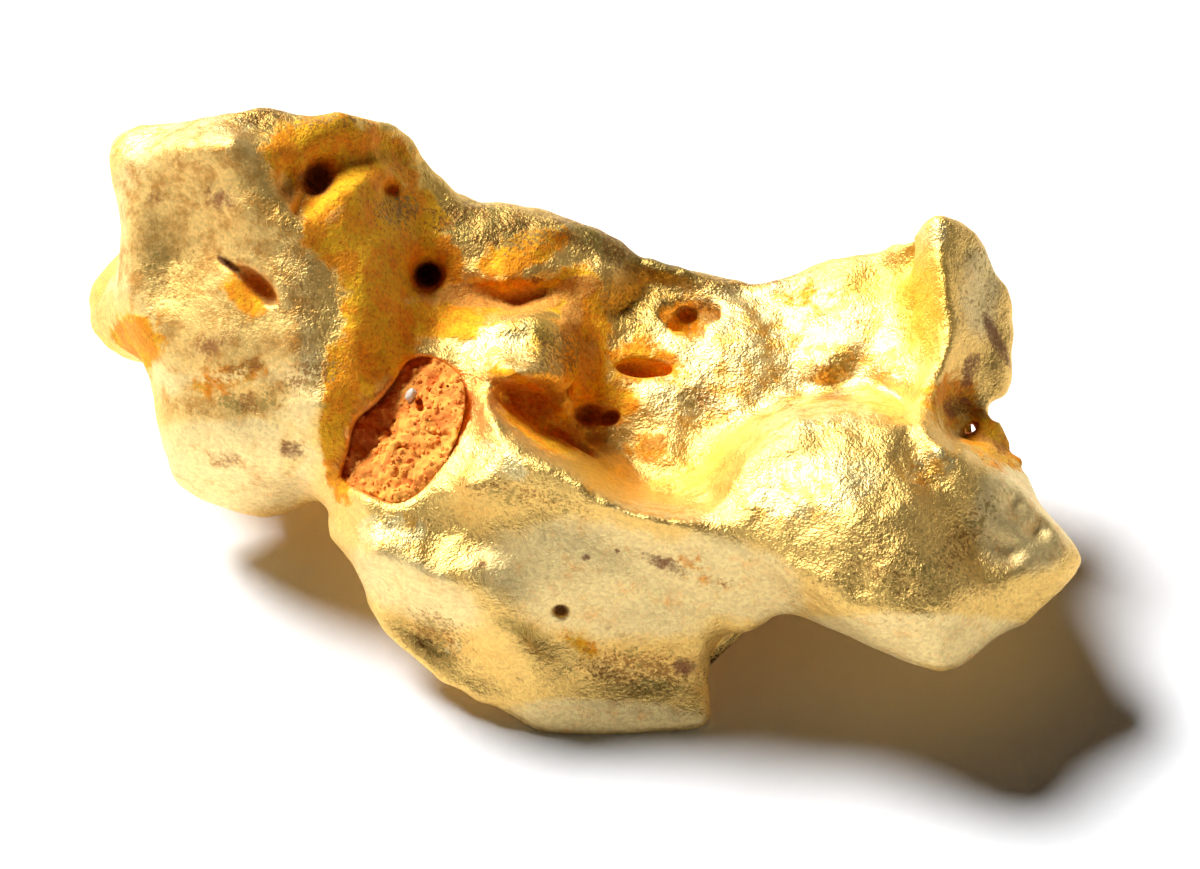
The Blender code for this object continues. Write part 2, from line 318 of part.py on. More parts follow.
def distance_to_outline(rim, x, y):
    """Signed distance to the outline on the drawing plane, negative inside it."""
    nearest = np.full(x.shape, 1e9)
    inside = np.zeros(x.shape, bool)
    for (ax, ay), (bx, by) in zip(rim, np.roll(rim, -1, 0)):
        ex, ey = bx - ax, by - ay
        t = np.clip(((x - ax) * ex + (y - ay) * ey) / (ex * ex + ey * ey), 0, 1)
        nearest = np.minimum(nearest, (x - ax - t * ex) ** 2 + (y - ay - t * ey) ** 2)
        if ay != by:
            inside ^= ((ay > y) != (by > y)) & (x < ex * (y - ay) / ey + ax)
    return np.where(inside, -1, 1) * np.sqrt(nearest)


def ball_chain(balls, x, y, z):
    """Distance to a chain of balls joined by cones."""
    field = None
    for (ax, ay, az, ra), (bx, by, bz, rb) in zip(balls[:-1], balls[1:]):
        ex, ey, ez = bx - ax, by - ay, bz - az
        t = ((x - ax) * ex + (y - ay) * ey + (z - az) * ez) / (ex * ex + ey * ey + ez * ez)
        t = np.clip(t, 0, 1)
        d = np.sqrt((x - ax - t * ex) ** 2 + (y - ay - t * ey) ** 2 + (z - az - t * ez) ** 2)
        d = d - (ra + (rb - ra) * t)
        field = d if field is None else np.minimum(field, d)
    return field


def ellipsoid(centre, radii, turn, x, y, z):
    """Nearly the distance to an ellipsoid whose long axis is turned about z."""
    c, s = math.cos(math.radians(turn)), math.sin(math.radians(turn))
    u = (x - centre[0]) * c + (y - centre[1]) * s
    v = (y - centre[1]) * c - (x - centre[0]) * s
    w = z - centre[2]
    k0 = np.sqrt((u / radii[0]) ** 2 + (v / radii[1]) ** 2 + (w / radii[2]) ** 2)
    k1 = np.sqrt((u / radii[0] ** 2) ** 2 + (v / radii[1] ** 2) ** 2 + (w / radii[2] ** 2) ** 2)
    return k0 * (k0 - 1) / np.maximum(k1, 1e-6)


def grid(voxel):
    """The drawing plane's x and y, and the heights z, at which the fields are worked out."""
    x, y, z = (np.arange(a, b, voxel) for a, b in zip(LOW, HIGH))
    return x[:, None, None], y[None, :, None], z[None, None, :]


def lumps(octaves, x, y, z):
    """Smooth seeded unevenness: for each octave, a coarse lattice of heights read in between."""
    rng = np.random.default_rng(SEED)
    total = 0.0
    for size, height in octaves:
        shape = [int((b - a) / size) + 4 for a, b in zip(LOW, HIGH)]
        values = rng.uniform(-height, height, shape)
        for axis, (places, low) in enumerate(zip((x, y, z), LOW)):
            at = (places.ravel() - low) / size + 1
            nodes = np.arange(shape[axis])
            near = np.abs(at[:, None] - nodes)
            weights = np.where(near < 1, (2 * near - 3) * near**2 + 1, 0.0)
            values = np.moveaxis(np.tensordot(weights, values, (1, axis)), 0, axis)
        total = total + values
    return total


def pocket_field(grown, x, y, z):
    """The space inside the pocket, negative there, made smaller all round by a negative growth."""
    rim = closed_curve(POCKET_RIM)
    across = distance_to_outline(rim, x[..., 0] + 0 * y[..., 0], y[..., 0] + 0 * x[..., 0])
    walls = across[..., None] + (POCKET_MOUTH - z) * POCKET_TAPER
    return smooth_max(walls, POCKET_BOTTOM - z, POCKET_CORNER) - grown


def slope_factor(sheet, voxel):
    along, across = np.gradient(sheet, voxel)
    return np.sqrt(1 + along**2 + across**2)


def surveyed_slab(x, y, z, voxel):
    """The field of the metal between the display side, the back and the rim; and the display side."""
    rim = closed_curve(RIM)
    rim_line = points_along(np.r_[rim, rim[:1]], SPACING)
    lines = [points_along(line, SPACING) for line in DISPLAY_LINES.values()]
    display = np.concatenate(lines + [np.array(DISPLAY_SPOTS), rim_line + (0, 0, RIM_HALF)])
    back = np.concatenate([np.array(BACK_SPOTS), rim_line - (0, 0, RIM_HALF)])
    top = surveyed_surface(display, x[..., 0], y[..., 0])
    under = surveyed_surface(back, x[..., 0], y[..., 0])
    edge = distance_to_outline(rim[:, :2], x[..., 0] + 0 * top, y[..., 0] + 0 * top)
    above = (z - top[..., None]) / slope_factor(top, voxel)[..., None]
    below = (under[..., None] - z) / slope_factor(under, voxel)[..., None]
    return smooth_max(smooth_max(above, below, ROUND), edge[..., None], ROUND), top


def nugget_field(voxel):
    x, y, z = grid(voxel)
    field, top = surveyed_slab(x, y, z, voxel)
    for balls in LOBES.values():
        field = smooth_min(field, ball_chain(balls, x, y, z), LOBE_BLEND)
    start, full = BACK_STARTS
    backness = np.clip((top[..., None] - z - start) / (full - start), 0, 1)
    field = field + lumps(GOLD_LUMPS, x, y, z) + backness * lumps(BACK_LUMPS, x, y, z)
    field = smooth_max(field, -pocket_field(0.0, x, y, z), POCKET_LIP)
    for balls in UNDERCUTS.values():
        field = smooth_max(field, -ball_chain(balls, x, y, z), UNDERCUT_BLEND)
    for hole in (*HOLES.values(), HOLE_THROUGH):
        i, j = (int((place - low) / voxel) for place, low in zip(hole["at"], LOW))
        mouth = (*hole["at"], float(top[i, j]))
        field = smooth_max(field, -ellipsoid(mouth, hole["radii"], hole["turn"], x, y, z), hole["blend"])
    return field


def clay_field(voxel):
    x, y, z = grid(voxel)
    face = surveyed_surface(np.array(CLAY_SPOTS), x[..., 0], y[..., 0])
    above = (z - face[..., None]) / slope_factor(face, voxel)[..., None]
    above = above + lumps(CLAY_LUMPS, x, y, z)
    return smooth_max(pocket_field(-CLAY_GAP, x, y, z), above, CLAY_EDGE)


def mesh_from_field(name, field, voxel):
    """A closed mesh of the field's zero surface, in metres, standing as the part stands."""
    volume = openvdb.FloatGrid(background=1.0)
    volume.copyFromArray(np.ascontiguousarray(field, np.float32))
    points, quads = volume.convertToQuads(0.0)
    mesh = bpy.data.meshes.new(name)
    mesh.from_pydata((points * voxel + np.array(LOW)).tolist(), [], quads.tolist())
    lean = Matrix.Rotation(math.radians(LEAN), 4, "X")
    floor = Matrix.Translation((0, 0, -FLOOR_SUM / math.sqrt(2)))
    mesh.transform(Matrix.Scale(MM, 4) @ floor @ lean)
    return mesh


def keep_largest(bm):
    """Delete every loose crumb but the piece itself."""
    bm.faces.ensure_lookup_table()
    unseen = set(bm.faces)
    islands = []
    while unseen:
        front = [unseen.pop()]
        island = list(front)
        while front:
            face = front.pop()
            for edge in face.edges:
                for other in edge.link_faces:
                    if other in unseen:
                        unseen.remove(other)
                        front.append(other)
                        island.append(other)
        islands.append(island)
    for island in sorted(islands, key=len)[:-1]:
        bmesh.ops.delete(bm, geom=island, context="FACES")
    loose = [v for v in bm.verts if not v.link_faces]
    bmesh.ops.delete(bm, geom=loose, context="VERTS")


def simplified(mesh, triangles):
    """The mesh's faces collapsed to about this many triangles."""
    shape = bpy.data.objects.new(mesh.name, mesh)
    bpy.context.scene.collection.objects.link(shape)
    collapse = shape.modifiers.new("collapse", "DECIMATE")
    collapse.ratio = triangles / (2 * len(mesh.polygons))
    collapse.use_collapse_triangulate = True
    result = bpy.data.meshes.new_from_object(shape.evaluated_get(bpy.context.evaluated_depsgraph_get()))
    bpy.data.objects.remove(shape)
    return result


def rub_flat(bm):
    """Cut off what is below Z = 0 and close the cuts: the worn flats that the nugget rests on."""
    geometry = [*bm.verts, *bm.edges, *bm.faces]
    bmesh.ops.bisect_plane(bm, geom=geometry, plane_co=(0, 0, 0), plane_no=(0, 0, -1), clear_outer=True)
    rims = [edge for edge in bm.edges if edge.is_boundary]
    caps = bmesh.ops.holes_fill(bm, edges=rims)["faces"]
    bmesh.ops.triangulate(bm, faces=caps)


def principled(name, colour, metallic, roughness):
    material = bpy.data.materials.new(name)
    material.use_nodes = True
    shader = material.node_tree.nodes["Principled BSDF"]
    shader.inputs["Base Color"].default_value = (*colour, 1.0)
    shader.inputs["Metallic"].default_value = metallic
    shader.inputs["Roughness"].default_value = roughness
    return material


def add_piece(name, field, triangles, material, origin=None):
    """One named object from a field; the origin is the middle of the box's bottom, found if not given."""
    mesh = mesh_from_field(name, field, VOXEL)
    bm = bmesh.new()
    bm.from_mesh(mesh)
    keep_largest(bm)
    bm.to_mesh(mesh)
    bm.free()
    mesh = simplified(mesh, triangles)
    bm = bmesh.new()
    bm.from_mesh(mesh)
    rub_flat(bm)
    bm.to_mesh(mesh)
    bm.free()
    if origin is None:
        corners = np.array([v.co for v in mesh.vertices])
        origin = (corners.min(0) + corners.max(0)) / 2
    mesh.transform(Matrix.Translation((-origin[0], -origin[1], 0)))
    mesh.shade_smooth()
    mesh.materials.append(material)
    piece = bpy.data.objects.new(name, mesh)
    bpy.context.scene.collection.objects.link(piece)
    return origin


for leftover in list(bpy.data.objects):
    bpy.data.objects.remove(leftover)

gold = principled("native_gold", (0.86, 0.58, 0.20), 1.0, 0.42)
clay = principled("ironstone_clay", (0.36, 0.10, 0.04), 0.0, 0.85)
middle = add_piece("gold_nugget", nugget_field(VOXEL), NUGGET_TRIANGLES, gold)
add_piece("clay_plug", clay_field(VOXEL), CLAY_TRIANGLES, clay, middle)
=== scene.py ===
# %% [markdown]
# # A water-worn gold nugget
# The nugget is one lump of native gold, rubbed smooth by gravel on its high parts and left rough
# and stained in its hollows. A pocket in its display side is packed with red ironstone clay. This
# lesson makes the fine surface that lies on the plain solid model, gives the gold and the clay
# their finishes, and sets the stage: a sheet of white paper under one big soft lamp.

import math

import bmesh
import bpy
import numpy as np
import openvdb
from mathutils import Matrix, Vector


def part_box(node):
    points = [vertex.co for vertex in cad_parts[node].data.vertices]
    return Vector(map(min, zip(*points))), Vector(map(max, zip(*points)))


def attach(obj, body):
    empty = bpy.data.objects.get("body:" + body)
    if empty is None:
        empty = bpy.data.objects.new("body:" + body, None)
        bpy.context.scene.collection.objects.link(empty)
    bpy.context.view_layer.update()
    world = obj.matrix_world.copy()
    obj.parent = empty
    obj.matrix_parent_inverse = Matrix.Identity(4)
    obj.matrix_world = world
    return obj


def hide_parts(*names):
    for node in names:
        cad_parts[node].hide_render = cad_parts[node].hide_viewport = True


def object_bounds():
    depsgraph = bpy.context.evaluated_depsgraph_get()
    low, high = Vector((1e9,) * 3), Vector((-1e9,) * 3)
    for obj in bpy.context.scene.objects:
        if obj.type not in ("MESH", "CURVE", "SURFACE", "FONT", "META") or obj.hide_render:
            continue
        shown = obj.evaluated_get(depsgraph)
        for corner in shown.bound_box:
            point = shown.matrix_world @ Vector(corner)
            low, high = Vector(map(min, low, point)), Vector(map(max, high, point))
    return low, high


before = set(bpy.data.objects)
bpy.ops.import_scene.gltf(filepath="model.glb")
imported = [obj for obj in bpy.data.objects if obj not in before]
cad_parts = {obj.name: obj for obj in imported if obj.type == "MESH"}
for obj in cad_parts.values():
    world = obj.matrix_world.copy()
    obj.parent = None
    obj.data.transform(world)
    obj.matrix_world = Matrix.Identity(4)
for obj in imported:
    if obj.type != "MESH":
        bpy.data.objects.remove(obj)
CAD_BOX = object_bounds()
print("solid model's box, mm:", [[round(c * 1000, 2) for c in corner] for corner in CAD_BOX])

# %% [markdown]
# ## Sizes
# The display side is laid out on a drawing plane, as a surveyor would: x along the nugget, y across
# it and z the height towards the viewer, in millimetres. The finished pieces are tipped back by
# LEAN and set on the floor, so one matrix turns drawing places into places in the scene.

# %% Sizes and the drawing plane
MM = 0.001
LEAN = 45.0                          # degrees
FLOOR_SUM = -8.0                     # y + z of the resting plane
LOW = (-14.0, -8.2, -8.8)
HIGH = (12.6, 8.9, 4.4)
VOXEL = 0.085
NUGGET_TRIANGLES = 196000            # what thinning aims at; the display side keeps all of its own
RIM_HALF = 0.35                      # half the rim's thickness
ROUND = 0.4                          # radius where the sides and the rim meet
SOFTNESS = 0.18                      # how far a crest is rounded
SPACING = 0.45                       # between points read along a line
CLOSEST = 0.14                       # a point nearer than this to an earlier one is left out


def grid_axes(low, high, voxel):
    """The x, y and z of the field's points, shaped so that they combine into a block."""
    x, y, z = (np.arange(a, b, voxel, dtype=np.float32) for a, b in zip(low, high))
    return x[:, None, None], y[None, :, None], z[None, None, :]


print("field of", [int((b - a) / VOXEL) for a, b in zip(LOW, HIGH)], "points")

# %% [markdown]
# ## The rim
# The nugget's outline, seen square on. Each point also has the height of the rim there, because the
# slab of metal is warped: the left block stands proud, and the far edge of the basin falls away.

# %% The rim line
RIM = [
    (-12.45, 7.0, -1.7), (-12.35, 7.4, -1.85), (-12.0, 7.72, -1.8), (-11.5, 7.88, -1.7),
    (-10.6, 7.95, -1.25), (-9.4, 8.06, -0.75), (-8.7, 8.25, -0.75), (-8.0, 8.24, -1.05), (-7.2, 8.16, -1.0),
    (-6.2, 8.06, -1.3), (-5.3, 7.85, -2.35), (-4.78, 7.56, -3.0), (-4.6, 7.2, -3.15), (-4.35, 6.8, -3.35),
    (-4.05, 6.45, -3.5), (-3.7, 6.12, -3.6), (-3.0, 5.95, -3.75), (-2.1, 5.86, -3.8),
    (-1.4, 5.68, -3.95), (-0.5, 5.4, -4.1), (0.2, 5.08, -4.25), (0.8, 4.7, -4.3), (1.3, 4.42, -4.4),
    (2.2, 4.12, -4.5), (3.1, 3.95, -4.65), (4.2, 3.88, -4.7), (5.0, 4.0, -4.75), (5.7, 4.22, -4.65),
    (6.4, 4.38, -4.45), (7.0, 4.72, -4.2), (7.6, 5.12, -3.4), (8.15, 5.48, -2.3), (8.6, 5.55, -1.95),
    (9.05, 5.4, -2.1), (9.5, 5.0, -2.4), (9.8, 4.55, -2.6), (10.05, 4.1, -2.8), (10.35, 3.7, -2.95),
    (10.55, 3.1, -3.05), (10.6, 2.5, -2.9), (10.46, 2.0, -2.65), (10.5, 1.3, -2.55), (10.46, 0.85, -2.3),
    (10.36, 0.6, -2.1), (10.12, 0.52, -1.85), (9.98, 0.42, -1.7), (10.16, 0.36, -1.75),
    (10.32, 0.05, -1.7), (10.55, -0.38, -1.5), (10.75, -0.6, -1.3), (10.95, -1.15, -0.8),
    (11.35, -1.85, -0.3), (11.75, -2.4, 0.0), (12.02, -2.85, 0.25), (12.06, -3.3, 0.35),
    (11.7, -3.82, 0.5), (11.1, -4.35, 0.65), (10.5, -4.85, 0.85), (9.8, -5.25, 1.2), (9.0, -5.7, 1.55),
    (8.5, -5.82, 1.75), (7.9, -5.68, 1.75), (6.9, -5.38, 1.7), (5.9, -5.02, 1.6), (5.1, -4.72, 1.4),
    (4.6, -4.6, 1.1), (4.2, -4.76, 0.7), (3.6, -5.06, 0.3), (3.12, -5.24, -0.1), (2.92, -5.6, -0.4),
    (2.8, -6.2, -0.65), (2.78, -6.8, -0.7), (2.68, -7.2, -0.7), (2.4, -7.36, -0.75), (1.4, -7.48, -0.8),
    (0.2, -7.58, -0.8), (-0.9, -7.62, -0.8), (-1.5, -7.46, -0.75), (-2.2, -7.02, -0.65),
    (-3.1, -6.7, -0.6), (-3.9, -6.28, -0.7), (-4.7, -5.62, -0.9), (-5.4, -5.02, -1.0),
    (-5.78, -4.45, -1.1), (-5.95, -3.85, -1.05), (-6.3, -3.25, -1.05), (-6.8, -2.62, -1.3),
    (-6.9, -2.2, -1.4), (-7.0, -1.86, -2.05), (-7.45, -1.84, -3.35), (-8.1, -1.98, -4.0),
    (-8.8, -2.04, -4.35), (-9.6, -1.84, -4.4), (-10.4, -1.48, -4.15), (-10.9, -1.08, -3.8),
    (-11.17, -0.4, -3.4), (-11.22, 0.4, -3.0), (-11.16, 1.3, -2.5), (-11.35, 1.95, -2.4),
    (-11.85, 2.55, -2.35), (-12.2, 3.1, -2.35), (-12.33, 3.7, -2.45), (-12.25, 4.5, -2.2),
    (-12.27, 5.4, -2.1), (-12.4, 6.2, -1.8),
]
print(len(RIM), "rim points")

# %% [markdown]
# ## The display side
# A map of the near face. Crests, valleys and the feet of slopes are lines, and everything between
# them follows. Where a wall is steep, its edge and its foot run side by side.

# %% The display side's lines
DISPLAY_LINES = {
    # the standing block at the left end
    "block_shoulder": [(-12.0, 6.98, -0.8), (-11.3, 7.08, -0.3), (-10.6, 7.32, 0.15), (-9.8, 7.45, 0.5),
                       (-9.1, 7.32, 0.8), (-8.4, 7.15, 0.55)],
    "block_shoulder_top": [(-11.6, 7.55, -1.05), (-10.5, 7.68, -0.5), (-9.4, 7.85, -0.1),
                           (-8.5, 7.9, -0.4)],
    "block_crest": [(-8.35, 7.1, 0.55), (-8.05, 6.5, 0.45), (-7.75, 5.9, 0.5), (-7.3, 5.2, 0.7),
                    (-6.8, 4.55, 0.5), (-6.5, 3.7, 0.5), (-6.7, 2.7, 0.65), (-6.95, 1.7, 0.75),
                    (-7.0, 0.7, 0.85), (-6.9, -0.3, 0.3), (-6.75, -1.1, -0.25), (-6.95, -1.55, -0.9)],
    "block_left_edge": [(-12.05, 6.2, -1.0), (-11.95, 5.2, -1.1), (-11.95, 4.2, -1.3), (-11.95, 3.4, -1.45),
                        (-11.6, 2.8, -1.25), (-11.1, 2.1, -1.3), (-10.9, 1.3, -1.55), (-10.9, 0.4, -2.0),
                        (-10.8, -0.4, -2.35), (-10.4, -1.0, -2.8)],
    "bulge_overhang": [(-10.3, 1.4, -0.95), (-9.7, 1.6, -0.3), (-9.1, 1.5, -0.05), (-8.5, 1.35, 0.1),
                       (-7.9, 1.3, 0.3)],
    "bulge_fold": [(-10.1, 1.0, -1.0), (-9.4, 0.95, -0.5), (-8.9, 0.8, -0.4), (-8.4, 0.7, -0.15)],
    "bulge_brow": [(-10.2, 0.1, -1.35), (-9.4, 0.2, -0.7), (-8.5, 0.2, -0.25), (-7.7, 0.1, 0.05)],
    "bulge_belly": [(-10.0, -0.8, -2.1), (-9.2, -0.9, -1.55), (-8.4, -0.9, -1.15), (-7.6, -0.9, -0.9)],
    "bulge_under": [(-9.9, -1.4, -3.25), (-9.1, -1.6, -3.15), (-8.3, -1.55, -2.75), (-7.6, -1.45, -2.3)],
    # the stained slope between the block and the saddle
    "second_crest": [(-7.25, 5.75, 0.1), (-6.6, 6.1, -0.1), (-6.0, 6.45, -0.65), (-5.4, 6.7, -1.55),
                     (-4.95, 6.85, -2.4)],
    "second_valley": [(-6.5, 6.55, -0.8), (-5.9, 6.9, -1.35), (-5.3, 7.1, -2.15)],
    "stained_slope": [(-6.7, 5.2, 0.25), (-6.1, 5.0, 0.0), (-5.5, 5.3, -0.8), (-5.0, 5.7, -1.9),
                      (-4.5, 6.2, -2.75)],
    "stained_foot": [(-5.9, 4.0, 0.25), (-5.75, 3.2, 0.35), (-5.9, 2.4, 0.55), (-6.1, 1.6, 0.65)],
    # the ridge round the pocket and along the front
    "pocket_rim_left": [(-6.75, -0.9, -0.15), (-6.55, -0.1, 0.45), (-6.45, 0.6, 0.7), (-5.8, 1.15, 0.55),
                        (-5.3, 1.7, 0.1), (-4.75, 2.2, -0.5), (-4.1, 2.15, -0.8), (-3.45, 1.75, -0.55),
                        (-3.1, 1.2, -0.15), (-3.15, 0.4, 0.7), (-3.35, -0.4, 1.45), (-3.8, -1.1, 1.65),
                        (-4.4, -1.65, 1.45), (-5.1, -1.95, 1.35), (-5.8, -1.8, 1.05), (-6.35, -1.45, 0.35)],
    "front_crest": [(-2.75, 0.85, 0.9), (-2.3, 0.2, 1.6), (-1.6, -0.35, 2.1), (-0.9, -0.75, 2.35),
                    (-0.3, -1.15, 2.55), (0.2, -1.5, 2.65), (0.8, -1.85, 2.75), (1.5, -2.0, 2.75),
                    (2.3, -2.1, 2.75), (2.85, -2.15, 2.7)],
    "front_shoulder": [(-3.3, -1.2, 2.35), (-2.5, -0.95, 2.6), (-1.7, -1.0, 2.75), (-0.9, -1.3, 2.8),
                       (0.0, -1.75, 2.85), (0.8, -2.15, 2.8), (1.7, -2.35, 2.75), (2.7, -2.6, 2.7)],
    "slot_wall_foot": [(-2.35, 1.0, -1.8), (-1.65, 0.55, -1.9), (-1.05, 0.15, -1.8), (-0.45, -0.25, -1.35)],
    "bowl_wall_foot": [(0.05, -0.6, -1.1), (0.5, -1.0, -0.9), (1.1, -1.35, -0.8), (1.8, -1.4, -0.7),
                       (2.5, -1.2, -0.6), (2.95, -0.7, -0.65)],
    "nose_top": [(-6.3, -2.1, 0.3), (-5.6, -2.35, 1.2), (-4.8, -2.35, 1.4), (-4.1, -2.3, 1.35)],
    "nose_lip": [(-6.5, -2.75, -0.25), (-5.7, -3.05, 1.25), (-4.8, -3.3, 1.6), (-3.9, -3.6, 1.75),
                 (-3.1, -3.8, 1.8), (-2.5, -4.2, 1.7), (-2.15, -4.85, 1.3), (-1.85, -5.55, 0.9),
                 (-1.5, -6.3, 0.35), (-1.3, -6.9, -0.1)],
    "nose_valley": [(-3.6, -2.2, 1.5), (-3.1, -2.7, 1.55), (-2.5, -3.1, 1.75)],
    # the front face and its foot
    "face_upper": [(-2.2, -1.9, 2.15), (-1.2, -2.05, 2.35), (0.0, -2.45, 2.35), (1.2, -2.9, 2.2),
                   (2.4, -3.2, 2.25), (3.4, -3.5, 2.15)],
    "face_mound": [(-1.7, -3.9, 1.6), (-1.0, -4.0, 1.55), (-0.2, -4.1, 1.4), (0.6, -4.2, 1.3)],
    "face_fold": [(-1.75, -5.0, 0.9), (-1.2, -4.95, 0.75), (-0.6, -5.1, 0.6), (0.0, -5.4, 0.45)],
    "face_hollow": [(0.2, -5.75, 0.2), (0.9, -5.9, 0.1), (1.7, -5.95, 0.05), (2.3, -5.95, 0.05)],
    "face_right": [(1.6, -4.2, 1.35), (2.2, -4.9, 0.9), (2.6, -5.5, 0.4)],
    "foot_band": [(-0.9, -6.55, 0.05), (0.2, -6.5, -0.05), (1.2, -6.5, -0.1), (2.2, -6.45, -0.15)],
    "lower_hollow": [(-5.0, -4.6, -0.45), (-4.3, -5.0, -0.5), (-3.8, -5.35, -0.35)],
    "lower_brow": [(-5.5, -3.8, 0.05), (-4.6, -4.2, 0.5), (-3.7, -4.6, 0.75), (-3.0, -5.1, 0.8)],
    "lower_lip": [(-4.4, -5.65, -0.5), (-3.6, -6.05, -0.3), (-2.8, -6.3, -0.1), (-2.0, -6.7, 0.0)],
    # the wing and its dome
    "dome_far_edge": [(2.9, -1.8, 2.3), (3.15, -1.2, 1.8), (3.5, -0.5, 1.3), (4.05, 0.1, 1.0),
                      (4.8, 0.45, 0.85), (5.7, 0.58, 0.85), (6.7, 0.6, 0.85), (7.5, 0.4, 1.0)],
    "dome_far_shoulder": [(3.3, -1.75, 2.5), (3.65, -1.1, 2.3), (4.05, -0.5, 2.05), (4.6, -0.05, 1.9),
                          (5.2, 0.1, 1.85), (5.9, 0.15, 1.85), (6.8, 0.12, 1.9), (7.4, -0.05, 1.9)],
    "dome_far_foot": [(2.75, -1.0, -0.5), (3.15, -0.25, -1.05), (3.8, 0.42, -1.5), (4.7, 0.82, -1.8),
                      (5.7, 0.95, -2.0), (6.8, 0.97, -1.9), (7.6, 0.78, -1.5)],
    "dome_top": [(3.9, -1.9, 2.75), (4.8, -1.4, 2.85), (5.9, -1.2, 3.0), (6.9, -1.3, 2.95),
                 (7.7, -1.6, 2.95)],
    "dome_middle": [(4.4, -2.7, 3.05), (5.2, -3.1, 3.35), (6.1, -3.3, 3.65), (7.0, -3.2, 3.8),
                    (8.0, -3.2, 3.6)],
    "dome_brow": [(3.9, -2.95, 2.75), (4.6, -3.35, 3.1), (5.4, -3.85, 3.35), (6.2, -4.3, 3.5),
                  (7.0, -4.55, 3.6), (7.9, -4.65, 3.55), (8.6, -4.5, 3.35), (9.2, -4.15, 2.95),
                  (9.8, -3.7, 2.3), (10.5, -3.4, 1.9), (11.2, -3.15, 1.5)],
    "dome_groove": [(7.75, 0.05, 1.65), (8.15, -0.7, 2.05), (8.6, -1.5, 2.15), (9.0, -2.3, 2.1),
                    (9.3, -2.9, 2.05), (10.2, -2.95, 1.75)],
    "facet_crest": [(8.0, 0.45, 1.15), (8.5, -0.3, 1.95), (9.1, -1.0, 2.05), (9.8, -1.8, 1.95),
                    (10.5, -2.45, 1.75), (11.2, -3.0, 1.45)],
    "facet_foot": [(9.0, -0.35, 1.15), (9.8, -0.75, 1.05), (10.5, -1.35, 0.95), (11.2, -2.1, 0.95),
                   (11.7, -2.75, 0.9)],
    "wing_band": [(4.6, -4.1, 2.15), (5.6, -4.6, 2.5), (6.8, -5.05, 2.7), (8.3, -5.4, 2.6),
                  (9.4, -5.0, 2.1), (10.3, -4.45, 1.55), (11.2, -3.85, 1.15)],
    # the knob, the clay crease and the back slope
    "knob_top": [(-4.1, 2.6, -1.2), (-3.3, 2.5, -0.75), (-2.5, 2.4, -0.4), (-1.7, 2.3, -0.3),
                 (-1.15, 2.2, -0.5)],
    "knob_near_edge": [(-2.95, 1.35, 0.0), (-2.3, 1.25, 0.2), (-1.6, 1.2, 0.15), (-0.95, 1.35, -0.3)],
    "knob_near_foot": [(-2.3, 0.98, -1.6), (-1.6, 0.88, -1.6), (-1.0, 0.8, -1.7)],
    "knob_end_foot": [(-0.65, 1.2, -1.85), (-0.4, 1.9, -2.35), (-0.35, 2.5, -2.65), (-0.6, 3.0, -2.75)],
    "knob_far_edge": [(-3.4, 2.95, -1.25), (-2.5, 3.0, -1.0), (-1.6, 2.95, -1.05), (-1.0, 2.7, -1.3)],
    "clay_crease": [(-3.7, 3.55, -2.45), (-3.0, 3.5, -2.5), (-2.2, 3.25, -2.45), (-1.5, 3.4, -2.7),
                    (-0.8, 3.55, -3.0), (-0.1, 3.5, -3.2), (0.35, 3.8, -3.5)],
    "crease_lip": [(-3.2, 4.0, -2.25), (-2.4, 3.75, -2.2), (-1.6, 3.95, -2.6), (-0.8, 4.05, -2.95),
                   (0.0, 4.1, -3.3)],
    "back_band": [(-2.7, 4.35, -2.4), (-2.1, 4.75, -2.65), (-1.5, 5.1, -3.05), (-0.9, 5.25, -3.35)],
    "back_slope": [(-3.7, 5.1, -2.6), (-2.9, 5.35, -2.75), (-2.2, 5.35, -2.95), (-0.6, 4.75, -3.4),
                   (0.2, 4.5, -3.7)],
    # the basin
    "basin_left": [(-0.3, -0.1, -2.3), (0.3, 0.9, -2.8), (0.5, 2.2, -3.45), (0.6, 3.2, -4.05),
                   (1.2, 3.9, -4.4)],
    "basin_low": [(1.6, -0.6, -1.8), (2.0, 0.4, -2.4), (2.6, 1.6, -3.15), (3.0, 2.9, -3.95)],
    "basin_middle": [(3.4, 0.7, -2.3), (4.2, 1.6, -2.9), (4.6, 2.8, -3.8), (4.6, 3.5, -4.3)],
    "basin_right": [(5.6, 1.6, -2.4), (6.3, 2.2, -2.8), (6.5, 3.2, -3.45), (6.3, 3.9, -3.8)],
    "basin_far_right": [(7.4, 1.5, -2.0), (7.6, 2.4, -2.55), (7.6, 3.3, -2.95), (7.4, 4.1, -3.5)],
    "basin_end": [(8.05, 1.7, -1.2), (8.25, 2.5, -1.3), (8.15, 3.4, -1.65), (7.9, 4.2, -2.3)],
    # the fin that closes the basin, and the curl below it
    "fin_crest": [(8.3, 5.0, -1.55), (8.4, 4.4, -1.15), (8.55, 3.8, -0.9), (8.72, 3.1, -0.8),
                  (8.75, 2.5, -0.6), (8.6, 1.95, -0.5), (8.35, 1.5, -0.35), (8.1, 1.1, -0.2)],
    "fin_outside": [(9.1, 4.7, -1.8), (9.3, 4.0, -1.7), (9.4, 3.2, -1.65), (9.45, 2.4, -1.5),
                    (9.4, 1.7, -1.55)],
    "fin_edge": [(9.85, 4.1, -2.4), (10.1, 3.3, -2.4), (10.2, 2.4, -2.25), (10.1, 1.5, -2.05)],
    "curl": [(8.75, 1.3, -1.0), (8.75, 0.75, -1.05), (9.0, 0.3, -1.1), (9.5, 0.6, -1.5),
             (9.9, 0.9, -1.85)],
    "curl_edge": [(8.28, 1.0, 0.15), (8.3, 0.55, 0.4), (8.5, 0.1, 0.55), (8.85, -0.2, 0.35)],
    "ledge": [(9.2, -0.1, -0.55), (9.7, 0.1, -1.1), (10.2, -0.3, -1.1), (10.6, -0.8, -0.85)],
}

